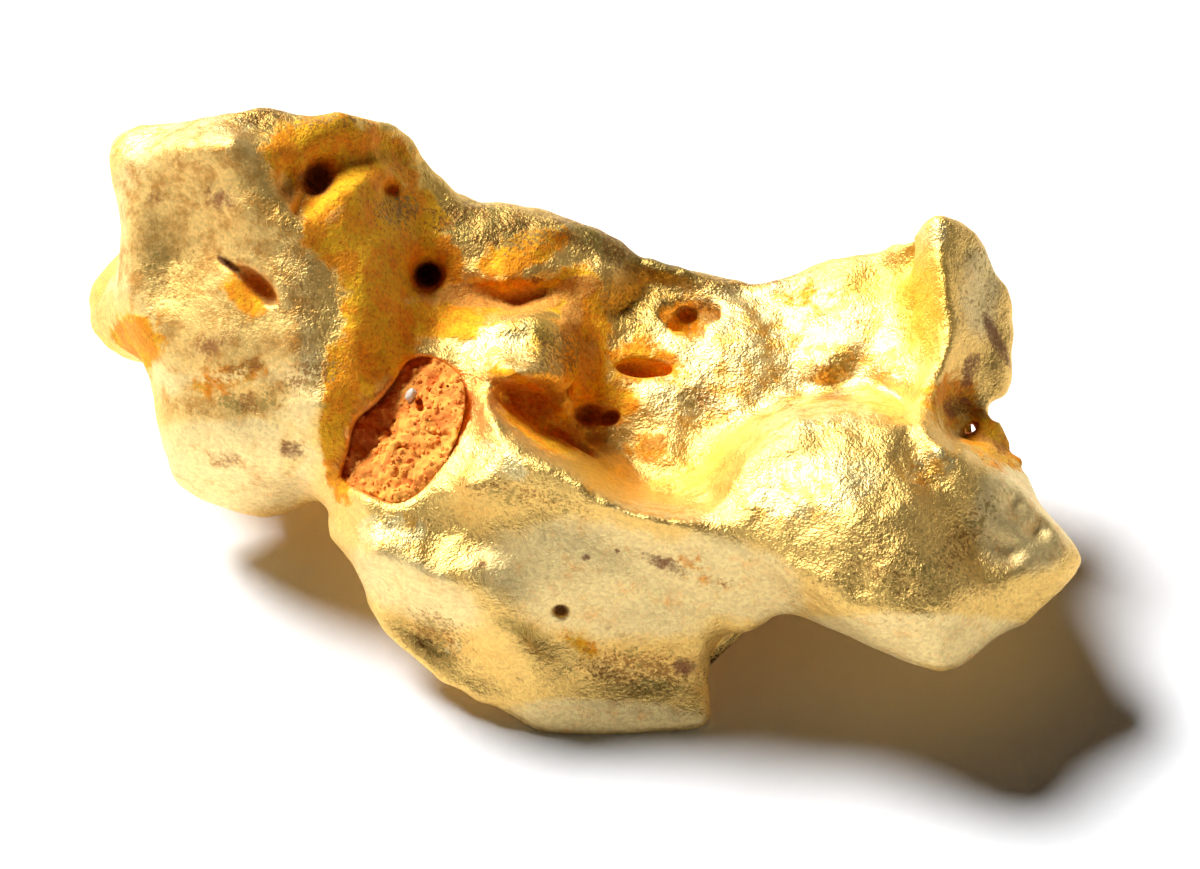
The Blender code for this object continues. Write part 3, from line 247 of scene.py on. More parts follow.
DISPLAY_SPOTS = [
    (-10.6, 6.3, 0.0), (-9.6, 6.4, 0.45), (-11.0, 5.4, -0.55), (-10.0, 5.4, -0.05), (-8.9, 5.6, 0.75),
    (-10.7, 4.4, -0.85), (-9.8, 4.5, -0.15), (-8.9, 4.7, 0.45), (-8.0, 4.6, 0.65), (-10.9, 3.4, -0.85),
    (-9.7, 3.5, -0.05), (-8.6, 3.2, 0.4), (-7.4, 3.9, 0.75), (-10.6, 2.5, -0.65), (-9.5, 2.5, 0.1),
    (-8.4, 2.4, 0.55), (-7.5, 2.7, 0.85), (-7.6, 1.9, 0.75), (-7.6, 0.6, 0.45), (-7.6, -0.3, -0.25),
    (-6.9, 7.6, -0.45), (-6.0, 7.55, -1.15), (-5.2, 7.4, -2.3), (-5.2, 4.9, -1.05), (-4.6, 5.4, -2.35),
    (-5.2, 3.9, -0.5), (-5.0, 3.0, -0.45), (-4.3, 4.9, -2.45), (-3.6, 4.3, -2.45), (-4.3, 3.1, -1.45),
    (-3.6, 3.2, -1.8), (-4.2, -3.0, 1.55), (-3.2, -3.2, 1.85), (-0.8, -3.2, 1.95), (0.5, -3.4, 1.85),
    (1.6, -3.6, 1.7), (2.9, -4.2, 1.4), (3.6, -4.5, 1.15), (-0.6, -6.0, 0.2), (-2.6, -5.6, 0.5),
    (-4.9, -3.9, 0.6), (0.6, -5.2, 0.7), (1.5, -5.3, 0.65), (8.7, -3.4, 3.25), (6.4, -3.8, 3.6),
    (7.6, -3.9, 3.75), (9.6, -2.3, 2.0), (9.5, -1.3, 1.55), (10.3, -1.7, 1.3),
    (10.9, -2.4, 1.2), (7.0, -0.3, 2.2), (5.6, -0.35, 2.2), (4.4, -0.75, 2.3), (1.2, 1.0, -2.65),
    (1.4, 2.9, -4.0), (2.2, 3.6, -4.45), (3.6, 3.6, -4.5), (5.5, 3.9, -4.25), (5.4, 2.6, -3.45),
]
print(len(DISPLAY_LINES), "lines and", len(DISPLAY_SPOTS), "spot heights")

# %% [markdown]
# ## The back, the lobes and the feet
# The hidden side is plainer: a bellied slab with lobes and two stumpy feet, welded on as chains of
# balls. Gravel wear leaves no sharp forms there.

# %% The back and its lobes
BACK_SPOTS = [
    (-11.2, 6.4, -3.3), (-9.6, 7.0, -3.2), (-8.0, 7.2, -3.2), (-10.6, 4.8, -4.8), (-8.6, 5.2, -5.25),
    (-6.4, 6.4, -3.45), (-10.4, 2.6, -5.1), (-8.4, 3.0, -5.8), (-6.4, 4.2, -4.7), (-9.8, 0.4, -5.4),
    (-8.0, 0.6, -5.25), (-6.2, 1.6, -4.55), (-4.4, 4.8, -5.05), (-4.2, 2.4, -5.3), (-8.6, -1.0, -5.2),
    (-6.0, -0.8, -3.2), (-4.0, 0.0, -4.05), (-4.4, -2.4, -2.2), (-4.2, -4.2, -1.7), (-2.6, -5.4, -1.2),
    (-2.2, -2.0, -2.8), (-1.4, -4.4, -2.0), (0.2, -5.8, -1.1), (1.6, -6.2, -0.8), (0.8, -3.6, -2.4),
    (2.2, -4.2, -1.2), (-2.0, 2.6, -5.25), (-1.6, 4.6, -5.2), (0.2, 0.6, -4.65), (0.4, 3.2, -5.15),
    (2.0, -1.6, -3.2), (2.4, 1.4, -5.25), (3.6, -2.8, -0.8), (4.4, 0.0, -3.95), (4.6, 2.6, -5.55),
    (5.4, -3.0, 0.2), (5.4, -1.4, -1.6), (6.8, 1.2, -4.75), (7.0, 3.4, -5.25), (7.6, -1.6, -1.2),
    (7.6, -3.6, 0.3), (8.8, 0.6, -3.15), (9.2, 2.6, -3.4), (9.2, 4.2, -3.15), (9.6, -1.4, -1.35),
    (9.8, -3.4, -0.4), (8.6, -4.9, 0.75), (11.0, -3.0, -0.75),
]

LOBES = {
    "rear_lobe": [(-9.2, 3.2, -3.65, 2.4), (-10.6, 3.3, -5.15, 2.0), (-11.5, 3.45, -6.5, 1.78)],
    "left_foot": [(-8.2, 1.8, -3.95, 2.3), (-8.3, 0.9, -5.4, 1.9), (-8.6, 0.35, -6.6, 1.5)],
    "belly": [(-6.8, 2.0, -3.5, 2.2), (-3.4, 1.9, -5.2, 1.9), (0.2, 1.5, -5.2, 1.9), (3.2, 1.2, -5.2, 1.9)],
    "right_foot": [(3.2, 0.8, -5.1, 1.9), (5.2, 0.2, -5.6, 1.9), (6.3, -0.5, -6.2, 1.6)],
    "back_knuckle": [(-5.4, 4.8, -3.8, 1.3), (-4.2, 4.0, -5.2, 1.0)],
    "shell_rib": [(6.4, 2.6, -4.6, 1.2), (8.2, 1.2, -3.2, 1.2)],
}
LOBE_BLEND = 1.5
print(len(LOBES), "lobes")

# %% [markdown]
# ## Holes
# Gas, roots and lost pebbles left holes of every size. Each is a stretched ball sunk into the
# surface, and where a lip overhangs, a chain of small balls eats in below it.

# %% Holes, undercuts and the pocket
HOLES = {
    "upper_hole": dict(at=(-7.05, 6.5), radii=(0.55, 0.4, 1.2), turn=68, blend=0.45),
    "upper_hole_left": dict(at=(-7.72, 6.45), radii=(0.5, 0.32, 0.5), turn=80, blend=0.4),
    "upper_hole_tip": dict(at=(-7.38, 5.85), radii=(0.45, 0.2, 0.5), turn=60, blend=0.35),
    "saddle_hole": dict(at=(-4.35, 4.05), radii=(0.4, 0.38, 1.9), turn=0, blend=0.6),
    "block_slot": dict(at=(-8.55, 3.72), radii=(0.66, 0.25, 0.8), turn=-44, blend=0.15),
    "block_slot_tail": dict(at=(-9.2, 4.2), radii=(0.45, 0.09, 0.35), turn=-36, blend=0.15),
    "small_hole": dict(at=(-5.25, 6.2), radii=(0.24, 0.2, 0.7), turn=0, blend=0.2),
    "twin_pit_left": dict(at=(-0.28, 0.5), radii=(0.36, 0.28, 0.9), turn=0, blend=0.15),
    "twin_pit_right": dict(at=(0.24, 0.42), radii=(0.28, 0.2, 0.7), turn=10, blend=0.15),
    "streak_ledge": dict(at=(1.1, 1.62), radii=(0.8, 0.2, 0.3), turn=-3, blend=0.3),
    "ring_dimple": dict(at=(2.25, 2.7), radii=(0.85, 0.7, 0.45), turn=20, blend=0.35),
    "ring_pit_far": dict(at=(2.2, 3.05), radii=(0.3, 0.22, 0.75), turn=0, blend=0.12),
    "ring_pit_near": dict(at=(2.45, 2.5), radii=(0.24, 0.2, 0.7), turn=0, blend=0.12),
    "end_dimple": dict(at=(7.75, 4.4), radii=(0.48, 0.4, 0.3), turn=30, blend=0.3),
    "face_pit": dict(at=(-0.98, -4.38), radii=(0.2, 0.17, 0.35), turn=0, blend=0.1),
}

# Places where the metal is eaten away under a lip, as chains of balls (x, y, z, radius).
UNDERCUTS = {
    "under_knob": [(-2.5, 0.98, -1.45, 0.3), (-1.7, 0.9, -1.65, 0.42), (-0.9, 0.95, -1.6, 0.3)],
    "under_ridge": [(-2.2, 0.7, -1.6, 0.3), (-1.3, 0.05, -1.6, 0.36), (-0.5, -0.45, -1.25, 0.3)],
}
UNDERCUT_BLEND = 0.25
HOLE_THROUGH = dict(at=(9.35, 0.15), radii=(0.2, 0.13, 2.6), turn=35, blend=0.1)

POCKET_RIM = [
    (-6.5, -1.0), (-6.32, -0.35), (-6.15, 0.35), (-5.6, 0.85), (-5.2, 1.35), (-4.9, 1.85), (-4.5, 2.0),
    (-4.0, 1.9), (-3.5, 1.5), (-3.36, 1.0), (-3.45, 0.3), (-3.75, -0.45), (-4.15, -1.05), (-4.6, -1.5),
    (-5.15, -1.68), (-5.75, -1.5), (-6.25, -1.28),
]
POCKET_MOUTH = 0.95                  # heights over the drawing plane
POCKET_BOTTOM = -2.3
POCKET_TAPER = 0.04                  # how far the walls lean in for each millimetre of depth
POCKET_LIP = 0.2                     # rounding of the metal at the pocket's mouth
POCKET_CORNER = 0.8                  # rounding between the pocket's wall and its bottom
# Heights of the clay's broken face. Its left part has sunk along a crack.
CLAY_SPOTS = [
    (-6.1, -0.9, 0.05), (-5.9, 0.1, -0.2), (-5.4, 0.6, -0.3), (-5.35, 0.1, -0.05), (-5.75, -0.45, 0.0),
    (-5.05, 0.35, 0.35), (-5.05, 0.0, 0.5), (-5.4, -0.35, 0.6), (-5.85, -0.85, 0.55), (-5.4, -1.3, 0.95),
    (-4.6, 1.45, -0.45), (-4.0, 1.4, -0.25), (-4.5, 1.0, 0.05), (-3.8, 0.9, 0.35), (-4.3, 0.4, 0.65),
    (-3.8, 0.1, 0.85), (-4.5, -0.3, 0.95), (-4.2, -0.9, 1.3), (-4.9, -0.8, 1.0), (-5.0, -1.4, 1.15),
]
print(len(HOLES), "holes and", len(UNDERCUTS), "undercuts")

# %% [markdown]
# ## Unevenness
# No face is smooth. Broad lumps, a finer hammering and a foil-like crumpling are all seeded noise,
# given as pairs of size and height in millimetres.

# %% Unevenness
GOLD_LUMPS = [(2.2, 0.10), (1.1, 0.06)]
BACK_LUMPS = [(3.4, 0.65), (1.7, 0.28)]
BACK_STARTS = (0.8, 2.6)             # depth under the display side where the back's lumps set in
SEED = 41
CRUMPLE = [(1.3, 0.06), (0.75, 0.05)]
FINE_LUMPS = [(0.5, 0.04), (0.27, 0.022)]
WORN_SMOOTH = 0.8                    # share of the crumpling that rubbing takes away
print("finest lumps are", FINE_LUMPS[-1][0], "mm across")

# %% [markdown]
# ## Reading the survey
# A Catmull-Rom curve rounds the rim, points are read along each line, and a smooth sheet is laid
# through all of them. The sheet is a sum of cones, one under each known point, whose weights come
# from one linear system: it passes through every height and bends as little as it can in between.
# A tiny hyperbola in place of each cone's tip keeps the crests from being knife-sharp.

# %% Curves and sheets
def closed_curve(points, steps=4):
    """A Catmull-Rom curve through a closed list of points, with this many steps between two."""
    p = np.array(points, float)
    before, after, later = np.roll(p, 1, 0), np.roll(p, -1, 0), np.roll(p, -2, 0)
    t = (np.arange(steps) / steps)[:, None, None]
    curve = 0.5 * (
        2 * p + (after - before) * t
        + (2 * before - 5 * p + 4 * after - later) * t**2
        + (3 * p - before - 3 * after + later) * t**3
    )
    return curve.transpose(1, 0, 2).reshape(-1, p.shape[1])


def points_along(line, spacing):
    """Points read along a line at about this spacing, its ends and corners among them."""
    p = np.array(line, float)
    found = [p[:1]]
    for a, b in zip(p[:-1], p[1:]):
        count = max(1, round(float(np.linalg.norm(b[:2] - a[:2])) / spacing))
        found.append(a + (b - a) * (np.arange(1, count + 1) / count)[:, None])
    return np.concatenate(found)


def surveyed_surface(heights, x, y):
    """The height over each (x, y), on a smooth sheet through the surveyed heights."""
    keep = []
    for h in heights:
        if all(math.hypot(h[0] - k[0], h[1] - k[1]) > CLOSEST for k in keep):
            keep.append(h)
    known = np.array(keep)
    reach = np.hypot(known[:, None, 0] - known[None, :, 0], known[:, None, 1] - known[None, :, 1])
    plane = np.c_[np.ones(len(known)), known[:, :2]]
    system = np.block([[np.sqrt(reach**2 + SOFTNESS**2), plane], [plane.T, np.zeros((3, 3))]])
    weights = np.linalg.solve(system, np.r_[known[:, 2], 0.0, 0.0, 0.0])
    sheet = weights[-3] + weights[-2] * x + weights[-1] * y
    for (kx, ky, _), weight in zip(known, weights):
        sheet = sheet + np.float32(weight) * np.sqrt((x - kx) ** 2 + (y - ky) ** 2 + SOFTNESS**2)
    return sheet.astype(np.float32)


rim_curve = closed_curve(RIM)
rim_line = points_along(np.r_[rim_curve, rim_curve[:1]], SPACING)
survey = [points_along(line, SPACING) for line in DISPLAY_LINES.values()]
display_points = np.concatenate(survey + [np.array(DISPLAY_SPOTS), rim_line + (0, 0, RIM_HALF)])
back_points = np.concatenate([np.array(BACK_SPOTS), rim_line - (0, 0, RIM_HALF)])
print(len(display_points), "heights on the display side,", len(back_points), "on the back")

# %% [markdown]
# ## Shapes as distances
# Each shape is a block of numbers: the distance to its surface, negative inside. Two shapes join by
# taking the smaller distance and cut each other by taking the larger, and a rounded minimum or
# maximum leaves a soft weld, as flowing metal would. The unevenness is a coarse lattice of seeded
# heights, read in between, and added to the distance.

# %% Rounded joins
def smooth_max(a, b, radius):
    """The larger of two fields, rounded where they are within a radius of each other."""
    h = np.maximum(radius - np.abs(a - b), 0.0) / radius
    return np.maximum(a, b) + h * h * (radius * 0.25)


def smooth_min(a, b, radius):
    return -smooth_max(-a, -b, radius)


print("two fields at zero, rounded over 0.4 mm, make", float(smooth_max(0.0, 0.0, 0.4)))

# %% Outline, balls and ellipsoids
def distance_to_outline(rim, x, y):
    """Signed distance to the outline on the drawing plane, negative inside it."""
    nearest = np.full(np.broadcast(x, y).shape, 1e9, np.float32)
    inside = np.zeros(nearest.shape, bool)
    for (ax, ay), (bx, by) in zip(rim, np.roll(rim, -1, 0)):
        ex, ey = bx - ax, by - ay
        t = np.clip(((x - ax) * ex + (y - ay) * ey) / (ex * ex + ey * ey), 0, 1)
        nearest = np.minimum(nearest, (x - ax - t * ex) ** 2 + (y - ay - t * ey) ** 2)
        if ay != by:
            inside ^= ((ay > y) != (by > y)) & (x < ex * (y - ay) / ey + ax)
    return (np.where(inside, -1, 1) * np.sqrt(nearest)).astype(np.float32)


def ball_chain(balls, x, y, z):
    """Distance to a chain of balls joined by cones."""
    field = None
    for (ax, ay, az, ra), (bx, by, bz, rb) in zip(balls[:-1], balls[1:]):
        ex, ey, ez = bx - ax, by - ay, bz - az
        t = ((x - ax) * ex + (y - ay) * ey + (z - az) * ez) / (ex * ex + ey * ey + ez * ez)
        t = np.clip(t, 0, 1)
        d = np.sqrt((x - ax - t * ex) ** 2 + (y - ay - t * ey) ** 2 + (z - az - t * ez) ** 2)
        d = d - (ra + (rb - ra) * t)
        field = d if field is None else np.minimum(field, d)
    return field


def ellipsoid(centre, radii, turn, x, y, z):
    """Nearly the distance to an ellipsoid whose long axis is turned about z."""
    c, s = math.cos(math.radians(turn)), math.sin(math.radians(turn))
    u = (x - centre[0]) * c + (y - centre[1]) * s
    v = (y - centre[1]) * c - (x - centre[0]) * s
    w = z - centre[2]
    k0 = np.sqrt((u / radii[0]) ** 2 + (v / radii[1]) ** 2 + (w / radii[2]) ** 2)
    k1 = np.sqrt((u / radii[0] ** 2) ** 2 + (v / radii[1] ** 2) ** 2 + (w / radii[2] ** 2) ** 2)
    return k0 * (k0 - 1) / np.maximum(k1, 1e-6)


print("from a 2 mm ball, 3 mm from its middle:", ball_chain([(0, 0, 0, 2), (1, 0, 0, 2)], -3, 0, 0))

# %% Seeded lumps
def lumps(octaves, x, y, z):
    """Smooth seeded unevenness: for each octave, a coarse lattice of heights read in between."""
    rng = np.random.default_rng(SEED)
    total = np.float32(0)
    for size, height in octaves:
        shape = [int((b - a) / size) + 4 for a, b in zip(LOW, HIGH)]
        values = rng.uniform(-height, height, shape).astype(np.float32)
        for axis, (places, low) in enumerate(zip((x, y, z), LOW)):
            at = (places.ravel() - low) / size + 1
            near = np.abs(at[:, None] - np.arange(shape[axis]))
            weights = np.where(near < 1, (2 * near - 3) * near**2 + 1, 0.0).astype(np.float32)
            values = np.moveaxis(np.tensordot(weights, values, (1, axis)), 0, axis)
        total = total + values
    return total


print("a lump's height at one place:", np.round(lumps(GOLD_LUMPS, *np.zeros((3, 1, 1, 1))), 3).ravel())

# %% Working in a small box
def work_in_box(field, axes, low, high, change):
    """Change the field only where x, y and z lie between two corners."""
    cut = []
    for a, b, start in zip(low, high, LOW):
        cut.append(slice(max(0, int((a - start) / VOXEL)), max(1, int((b - start) / VOXEL) + 2)))
    x, y, z = axes
    field[tuple(cut)] = change(field[tuple(cut)], x[cut[0]], y[:, cut[1]], z[:, :, cut[2]])


def chain_box(balls, margin):
    """The corners of the box round a chain of balls."""
    b = np.array(balls)
    reach = b[:, 3:].max() + margin
    return b[:, :3].min(0) - reach, b[:, :3].max(0) + reach


print("boxes round", len(LOBES), "lobes and", len(UNDERCUTS), "undercuts")

# %% [markdown]
# ## Worn faces
# Gravel rubs whatever stands proud. The rubbed faces are laid out as soft ellipses on the drawing
# plane, because two things depend on them: they are smoother in shape, and paler in finish.

# %% Rubbed faces
RUBBED = [
    (-10.3, 5.2, 2.6, 2.9, 0, 1.0), (-9.6, 2.2, 2.6, 1.8, 0, 0.9), (-9.2, -0.7, 2.6, 1.6, 0, 0.95),
    (-7.7, 1.4, 1.2, 2.4, 0, 0.7), (0.0, -3.6, 3.6, 1.7, -8, 0.95), (0.4, -7.2, 3.4, 0.7, -4, 0.9),
    (-4.6, -3.9, 2.4, 1.0, -25, 0.8), (7.5, -5.1, 4.4, 0.8, 0, 1.0), (10.6, -2.0, 1.6, 1.7, -35, 1.0),
    (3.3, -3.6, 2.2, 1.2, -20, 0.9), (-4.9, -2.3, 0.8, 0.5, 0, 0.5), (9.6, 3.6, 0.7, 1.7, 0, 0.75),
]


def patches(spots, points):
    """How much each point is covered: soft ellipses (x, y, radius along, radius across, turn, amount)."""
    amounts = np.zeros(len(points), np.float32)
    for x, y, along, across, turn, amount in spots:
        c, s = math.cos(math.radians(turn)), math.sin(math.radians(turn))
        u = ((points[:, 0] - x) * c + (points[:, 1] - y) * s) / along
        v = ((points[:, 1] - y) * c - (points[:, 0] - x) * s) / across
        amounts = np.maximum(amounts, amount * np.exp(-((u * u + v * v) ** 1.5)))
    return amounts


plan = np.stack(np.broadcast_arrays(*grid_axes(LOW, HIGH, VOXEL)[:2]), -1)[:, :, 0].reshape(-1, 2)
print("rubbed share of the plan:", round(float((patches(RUBBED, plan) > 0.5).mean()), 2))

# %% [markdown]
# ## The nugget's own field
# The sheet of the display side, the sheet of the back and the rim's outline are three distances,
# and the metal is where all three are negative. The lobes weld on, the unevenness goes in, and then
# the pocket, the undercuts and the holes are cut. Each cut works only in a small box round itself.

# %% Slopes and the pocket's space
def slope_factor(sheet, voxel=VOXEL):
    """Turns a height above a sloping sheet into a distance from it."""
    along, across = np.gradient(sheet, voxel)
    return np.sqrt(1 + along**2 + across**2)[..., None]


def pocket_field(grown, x, y, z):
    """The space inside the pocket, negative there, made larger all round by what it has grown."""
    across = distance_to_outline(closed_curve(POCKET_RIM), x[..., 0], y[..., 0])
    walls = across[..., None] + (POCKET_MOUTH - z) * POCKET_TAPER
    return smooth_max(walls, POCKET_BOTTOM - z, POCKET_CORNER) - grown


print("the pocket is", round(POCKET_MOUTH - POCKET_BOTTOM, 2), "mm deep")

# %% Metal and lobes
axes = grid_axes(LOW, HIGH, VOXEL)
x, y, z = axes
top = surveyed_surface(display_points, x[..., 0], y[..., 0])
under = surveyed_surface(back_points, x[..., 0], y[..., 0])
edge = distance_to_outline(rim_curve[:, :2], x[..., 0], y[..., 0])
top_height = (z - top[..., None]) / slope_factor(top)
metal = smooth_max(top_height, (under[..., None] - z) / slope_factor(under), ROUND)
metal = smooth_max(metal, edge[..., None], ROUND)
for chain in LOBES.values():
    work_in_box(metal, axes, *chain_box(chain, LOBE_BLEND),
                lambda f, x, y, z, c=chain: smooth_min(f, ball_chain(c, x, y, z), LOBE_BLEND))
print("metal fills", round(float((metal < 0).sum()) * VOXEL**3), "cubic mm before it is cut")

# %% Unevenness goes in
start, full = BACK_STARTS
backness = np.clip((top[..., None] - z - start) / (full - start), 0, 1)
metal += lumps(GOLD_LUMPS, x, y, z) + backness * lumps(BACK_LUMPS, x, y, z)
crumple = np.abs(lumps(CRUMPLE, x, y, z)) + lumps(FINE_LUMPS, x, y, z)
crumple *= 1 - WORN_SMOOTH * patches(RUBBED, plan).reshape(*top.shape, 1)
metal += crumple
print("unevenness up to", round(float(crumple.max()), 3), "mm of crumpling")

# %% Pocket, undercuts and holes
CUT_MARGIN = 0.4                     # room for the rounding about a hole
pocket_low, pocket_high = np.array(POCKET_RIM).min(0) - 1, np.array(POCKET_RIM).max(0) + 1
work_in_box(metal, axes, (*pocket_low, POCKET_BOTTOM - 1), (*pocket_high, HIGH[2]),
            lambda f, x, y, z: smooth_max(f, -pocket_field(0.0, x, y, z), POCKET_LIP))
for chain in UNDERCUTS.values():
    work_in_box(metal, axes, *chain_box(chain, UNDERCUT_BLEND),
                lambda f, x, y, z, c=chain: smooth_max(f, -ball_chain(c, x, y, z), UNDERCUT_BLEND))
for hole in (*HOLES.values(), HOLE_THROUGH):
    i, j = (int((place - low) / VOXEL) for place, low in zip(hole["at"], LOW))
    mouth = np.array((*hole["at"], float(top[i, j])))
    widest = max(hole["radii"][:2])
    reach = np.array((widest, widest, hole["radii"][2])) + CUT_MARGIN
    work_in_box(metal, axes, mouth - reach, mouth + reach,
                lambda f, x, y, z, h=hole, m=mouth: smooth_max(
                    f, -ellipsoid(m, h["radii"], h["turn"], x, y, z), h["blend"]))
print("and", round(float((metal < 0).sum()) * VOXEL**3), "cubic mm after")

# %% [markdown]
# ## From field to mesh
# OpenVDB, which Blender carries for its volumes, finds the surface where the field is zero. The
# mesh is finest where it is looked at: a weighted Decimate thins the back alone, and leaves it plain.
# Last it is tipped onto its feet, and all that lies under the floor is pressed flat for worn soles.

# %% Field to mesh
def surface_of(name, field, low=LOW, voxel=VOXEL):
    """A mesh of the field's zero surface, on the drawing plane's axes and in millimetres."""
    volume = openvdb.FloatGrid(background=1.0)
    volume.copyFromArray(np.ascontiguousarray(field, np.float32))
    points, quads = volume.convertToQuads(0.0)
    points = points * voxel + np.array(low)
    points, quads = largest_piece(points, quads)
    mesh = bpy.data.meshes.new(name)
    mesh.from_pydata(points.tolist(), [], quads.tolist())
    return mesh


def largest_piece(points, quads):
    """Drops loose crumbs: each point takes the lowest number it can reach until nothing changes."""
    label = np.arange(len(points))
    while True:
        lowest = label[quads].min(1)
        spread = label.copy()
        np.minimum.at(spread, quads.ravel(), np.repeat(lowest, 4))
        spread = spread[spread]
        if (spread == label).all():
            break
        label = spread
    body = np.bincount(label).argmax()
    keep = label == body
    renumber = np.cumsum(keep) - 1
    return points[keep], renumber[quads[keep[quads[:, 0]]]]


print("OpenVDB", openvdb.LIBRARY_VERSION)

# %% Thinning and coordinates
BACK_THINNED = 3.0                   # how much harder the back is thinned
BACK_FACING = -0.1                   # faces turned further away than this count as the back


def as_object(name, mesh):
    piece = bpy.data.objects.new(name, mesh)
    bpy.context.scene.collection.objects.link(piece)
    return piece


def thinned(piece, triangles, weights):
    """Collapse the piece to about this many triangles, but only where the weights are high."""
    group = piece.vertex_groups.new(name="thin")
    for level in np.unique(weights):
        group.add(np.flatnonzero(weights == level).tolist(), float(level), "REPLACE")
    collapse = piece.modifiers.new("collapse", "DECIMATE")
    collapse.ratio = min(1.0, triangles / (2 * len(piece.data.polygons)))
    collapse.use_collapse_triangulate = True
    collapse.vertex_group = group.name
    collapse.vertex_group_factor = BACK_THINNED
    evaluated = piece.evaluated_get(bpy.context.evaluated_depsgraph_get())
    mesh = bpy.data.meshes.new_from_object(evaluated)
    old = piece.data
    piece.modifiers.remove(collapse)
    piece.vertex_groups.clear()
    piece.data = mesh
    bpy.data.meshes.remove(old)


def coordinates(mesh, what="co"):
    """The points of a mesh, or their normals, one to a row."""
    values = np.empty(len(mesh.vertices) * 3, np.float32)
    mesh.vertices.foreach_get(what, values)
    return values.reshape(-1, 3)


nugget = as_object("nugget_surface", surface_of("nugget_surface", metal))
facing = coordinates(nugget.data, "normal")[:, 2]
thinned(nugget, NUGGET_TRIANGLES, np.where(facing > BACK_FACING, 0.0, 1.0))
print("nugget:", len(nugget.data.polygons), "triangles")

# %% [markdown]
# ## Onto the floor
# The same matrix serves every piece. The sideways shift centres the nugget's box on the origin, as
# the solid model's is, and the points are held inside the solid model's box.

# %% Drawing plane to scene
lean = Matrix.Rotation(math.radians(LEAN), 4, "X")
floor_lift = Matrix.Translation((0, 0, -FLOOR_SUM / math.sqrt(2)))
drawing_to_floor = np.array(Matrix.Scale(MM, 4) @ floor_lift @ lean)


def tipped(points):
    """Drawing places in millimetres as places over the floor in metres."""
    return points @ drawing_to_floor[:3, :3].T + drawing_to_floor[:3, 3]


nugget_drawn = coordinates(nugget.data)
nugget_tipped = tipped(nugget_drawn)
cad_low, cad_high = np.array(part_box("gold_nugget"))
SHIFT = (cad_low + cad_high) / 2 - (nugget_tipped.min(0) + nugget_tipped.max(0)) / 2
SHIFT[2] = 0.0


def set_places(mesh, points):
    """Move a mesh's points to scene places, inside the solid model's box."""
    held = np.clip(tipped(points) + SHIFT, CAD_LOW, CAD_HIGH)
    mesh.vertices.foreach_set("co", held.astype(np.float32).ravel())
    mesh.update()
    mesh.shade_smooth()


CAD_LOW, CAD_HIGH = (np.array(corner) for corner in CAD_BOX)
set_places(nugget.data, nugget_drawn)
print("shifted by", np.round(SHIFT * 1000, 2), "mm; lowest point at", coordinates(nugget.data)[:, 2].min())

# %% [markdown]
# ## What the surface remembers, and painted light and shade
# Gravel rubs the high faces to a pale satin, iron settles in the hollows as an orange bloom, and
# clay stays in the deepest creases. Light and shade are painted in as well: paler highlights where
# the lamp falls, and dark flecks, olive and purple shade in holes, folds, grooves and recesses. Each
# is painted as a few named patches on the drawing plane, soft-edged, and kept on the mesh as an
# attribute between 0 and 1 that the materials read. The back was never cleaned or lit, so it gets
# one even share of bloom and deep gold.

# %% Patches
# orange iron bloom in the stained slope, round the pocket, and in the holes
BLOOM = [
    (-7.0, 7.1, 1.3, 1.0, 10, 1.3), (-5.5, 6.9, 1.0, 0.7, -40, 1.2), (-6.1, 5.7, 1.1, 1.3, 0, 1.4),
    (-5.5, 4.4, 1.1, 1.2, 0, 1.4), (-4.5, 2.9, 0.6, 0.5, 0, 1.2), (-5.5, 1.3, 0.7, 0.5, 30, 1.2),
    (-5.6, 2.9, 0.8, 1.2, 0, 1.4), (-5.3, 2.0, 0.8, 0.6, 30, 1.2), (-6.35, 1.2, 0.5, 1.2, 5, 1.3),
    (-6.6, -0.4, 0.35, 1.3, 8, 1.2), (-4.4, 4.2, 1.0, 0.9, 0, 1.3), (-4.6, 5.7, 1.0, 0.6, -45, 0.9),
    (-6.8, 5.2, 0.6, 1.1, 20, 1.2), (-3.7, 2.9, 0.9, 0.6, 0, 1.0), (-2.0, 4.6, 1.4, 0.5, 22, 1.0),
    (-2.2, 3.5, 1.9, 0.45, 3, 1.2), (-0.7, 3.6, 0.9, 0.6, 20, 1.2), (-0.35, 2.2, 0.6, 1.5, 0, 1.3),
    (-1.8, 1.0, 1.2, 0.3, -36, 1.3), (0.1, 0.8, 0.9, 0.6, 0, 1.1), (0.9, 1.8, 1.3, 0.7, 5, 0.75),
    (-1.5, 0.1, 1.1, 0.35, -33, 1.2), (2.2, 2.8, 0.6, 0.5, 0, 0.7), (-8.9, 3.5, 0.7, 0.4, -40, 0.9),
    (-9.4, 1.4, 1.4, 0.4, 15, 0.5), (9.9, -0.15, 1.2, 0.6, -30, 0.9), (-11.8, 2.3, 0.8, 0.8, 0, 1.2),
    (-0.4, -5.35, 0.6, 0.3, -30, 0.55), (8.9, 0.7, 0.9, 0.9, 0, 0.7), (2.4, -3.4, 1.2, 0.4, -15, 0.35),
    (1.2, -0.3, 0.7, 0.5, 0, 0.5), (5.2, 3.6, 0.8, 0.4, 10, 0.5), (1.9, -0.8, 1.0, 0.5, 10, 0.3),
]

# clean deep-yellow gold on the sheltered walls of the basin
GILT = [
    (-0.2, -0.8, 1.0, 0.4, -33, 1.0), (-1.35, 2.3, 0.5, 0.9, 0, 1.0), (8.1, 3.4, 0.7, 1.5, 0, 1.2),
    (7.0, 3.8, 1.0, 0.6, 0, 0.7), (2.3, -0.9, 1.2, 0.6, 20, 0.4), (-6.0, 6.3, 2.4, 1.6, -20, 0.7),
    (1.0, 3.2, 1.0, 0.8, 0, 0.5),
]
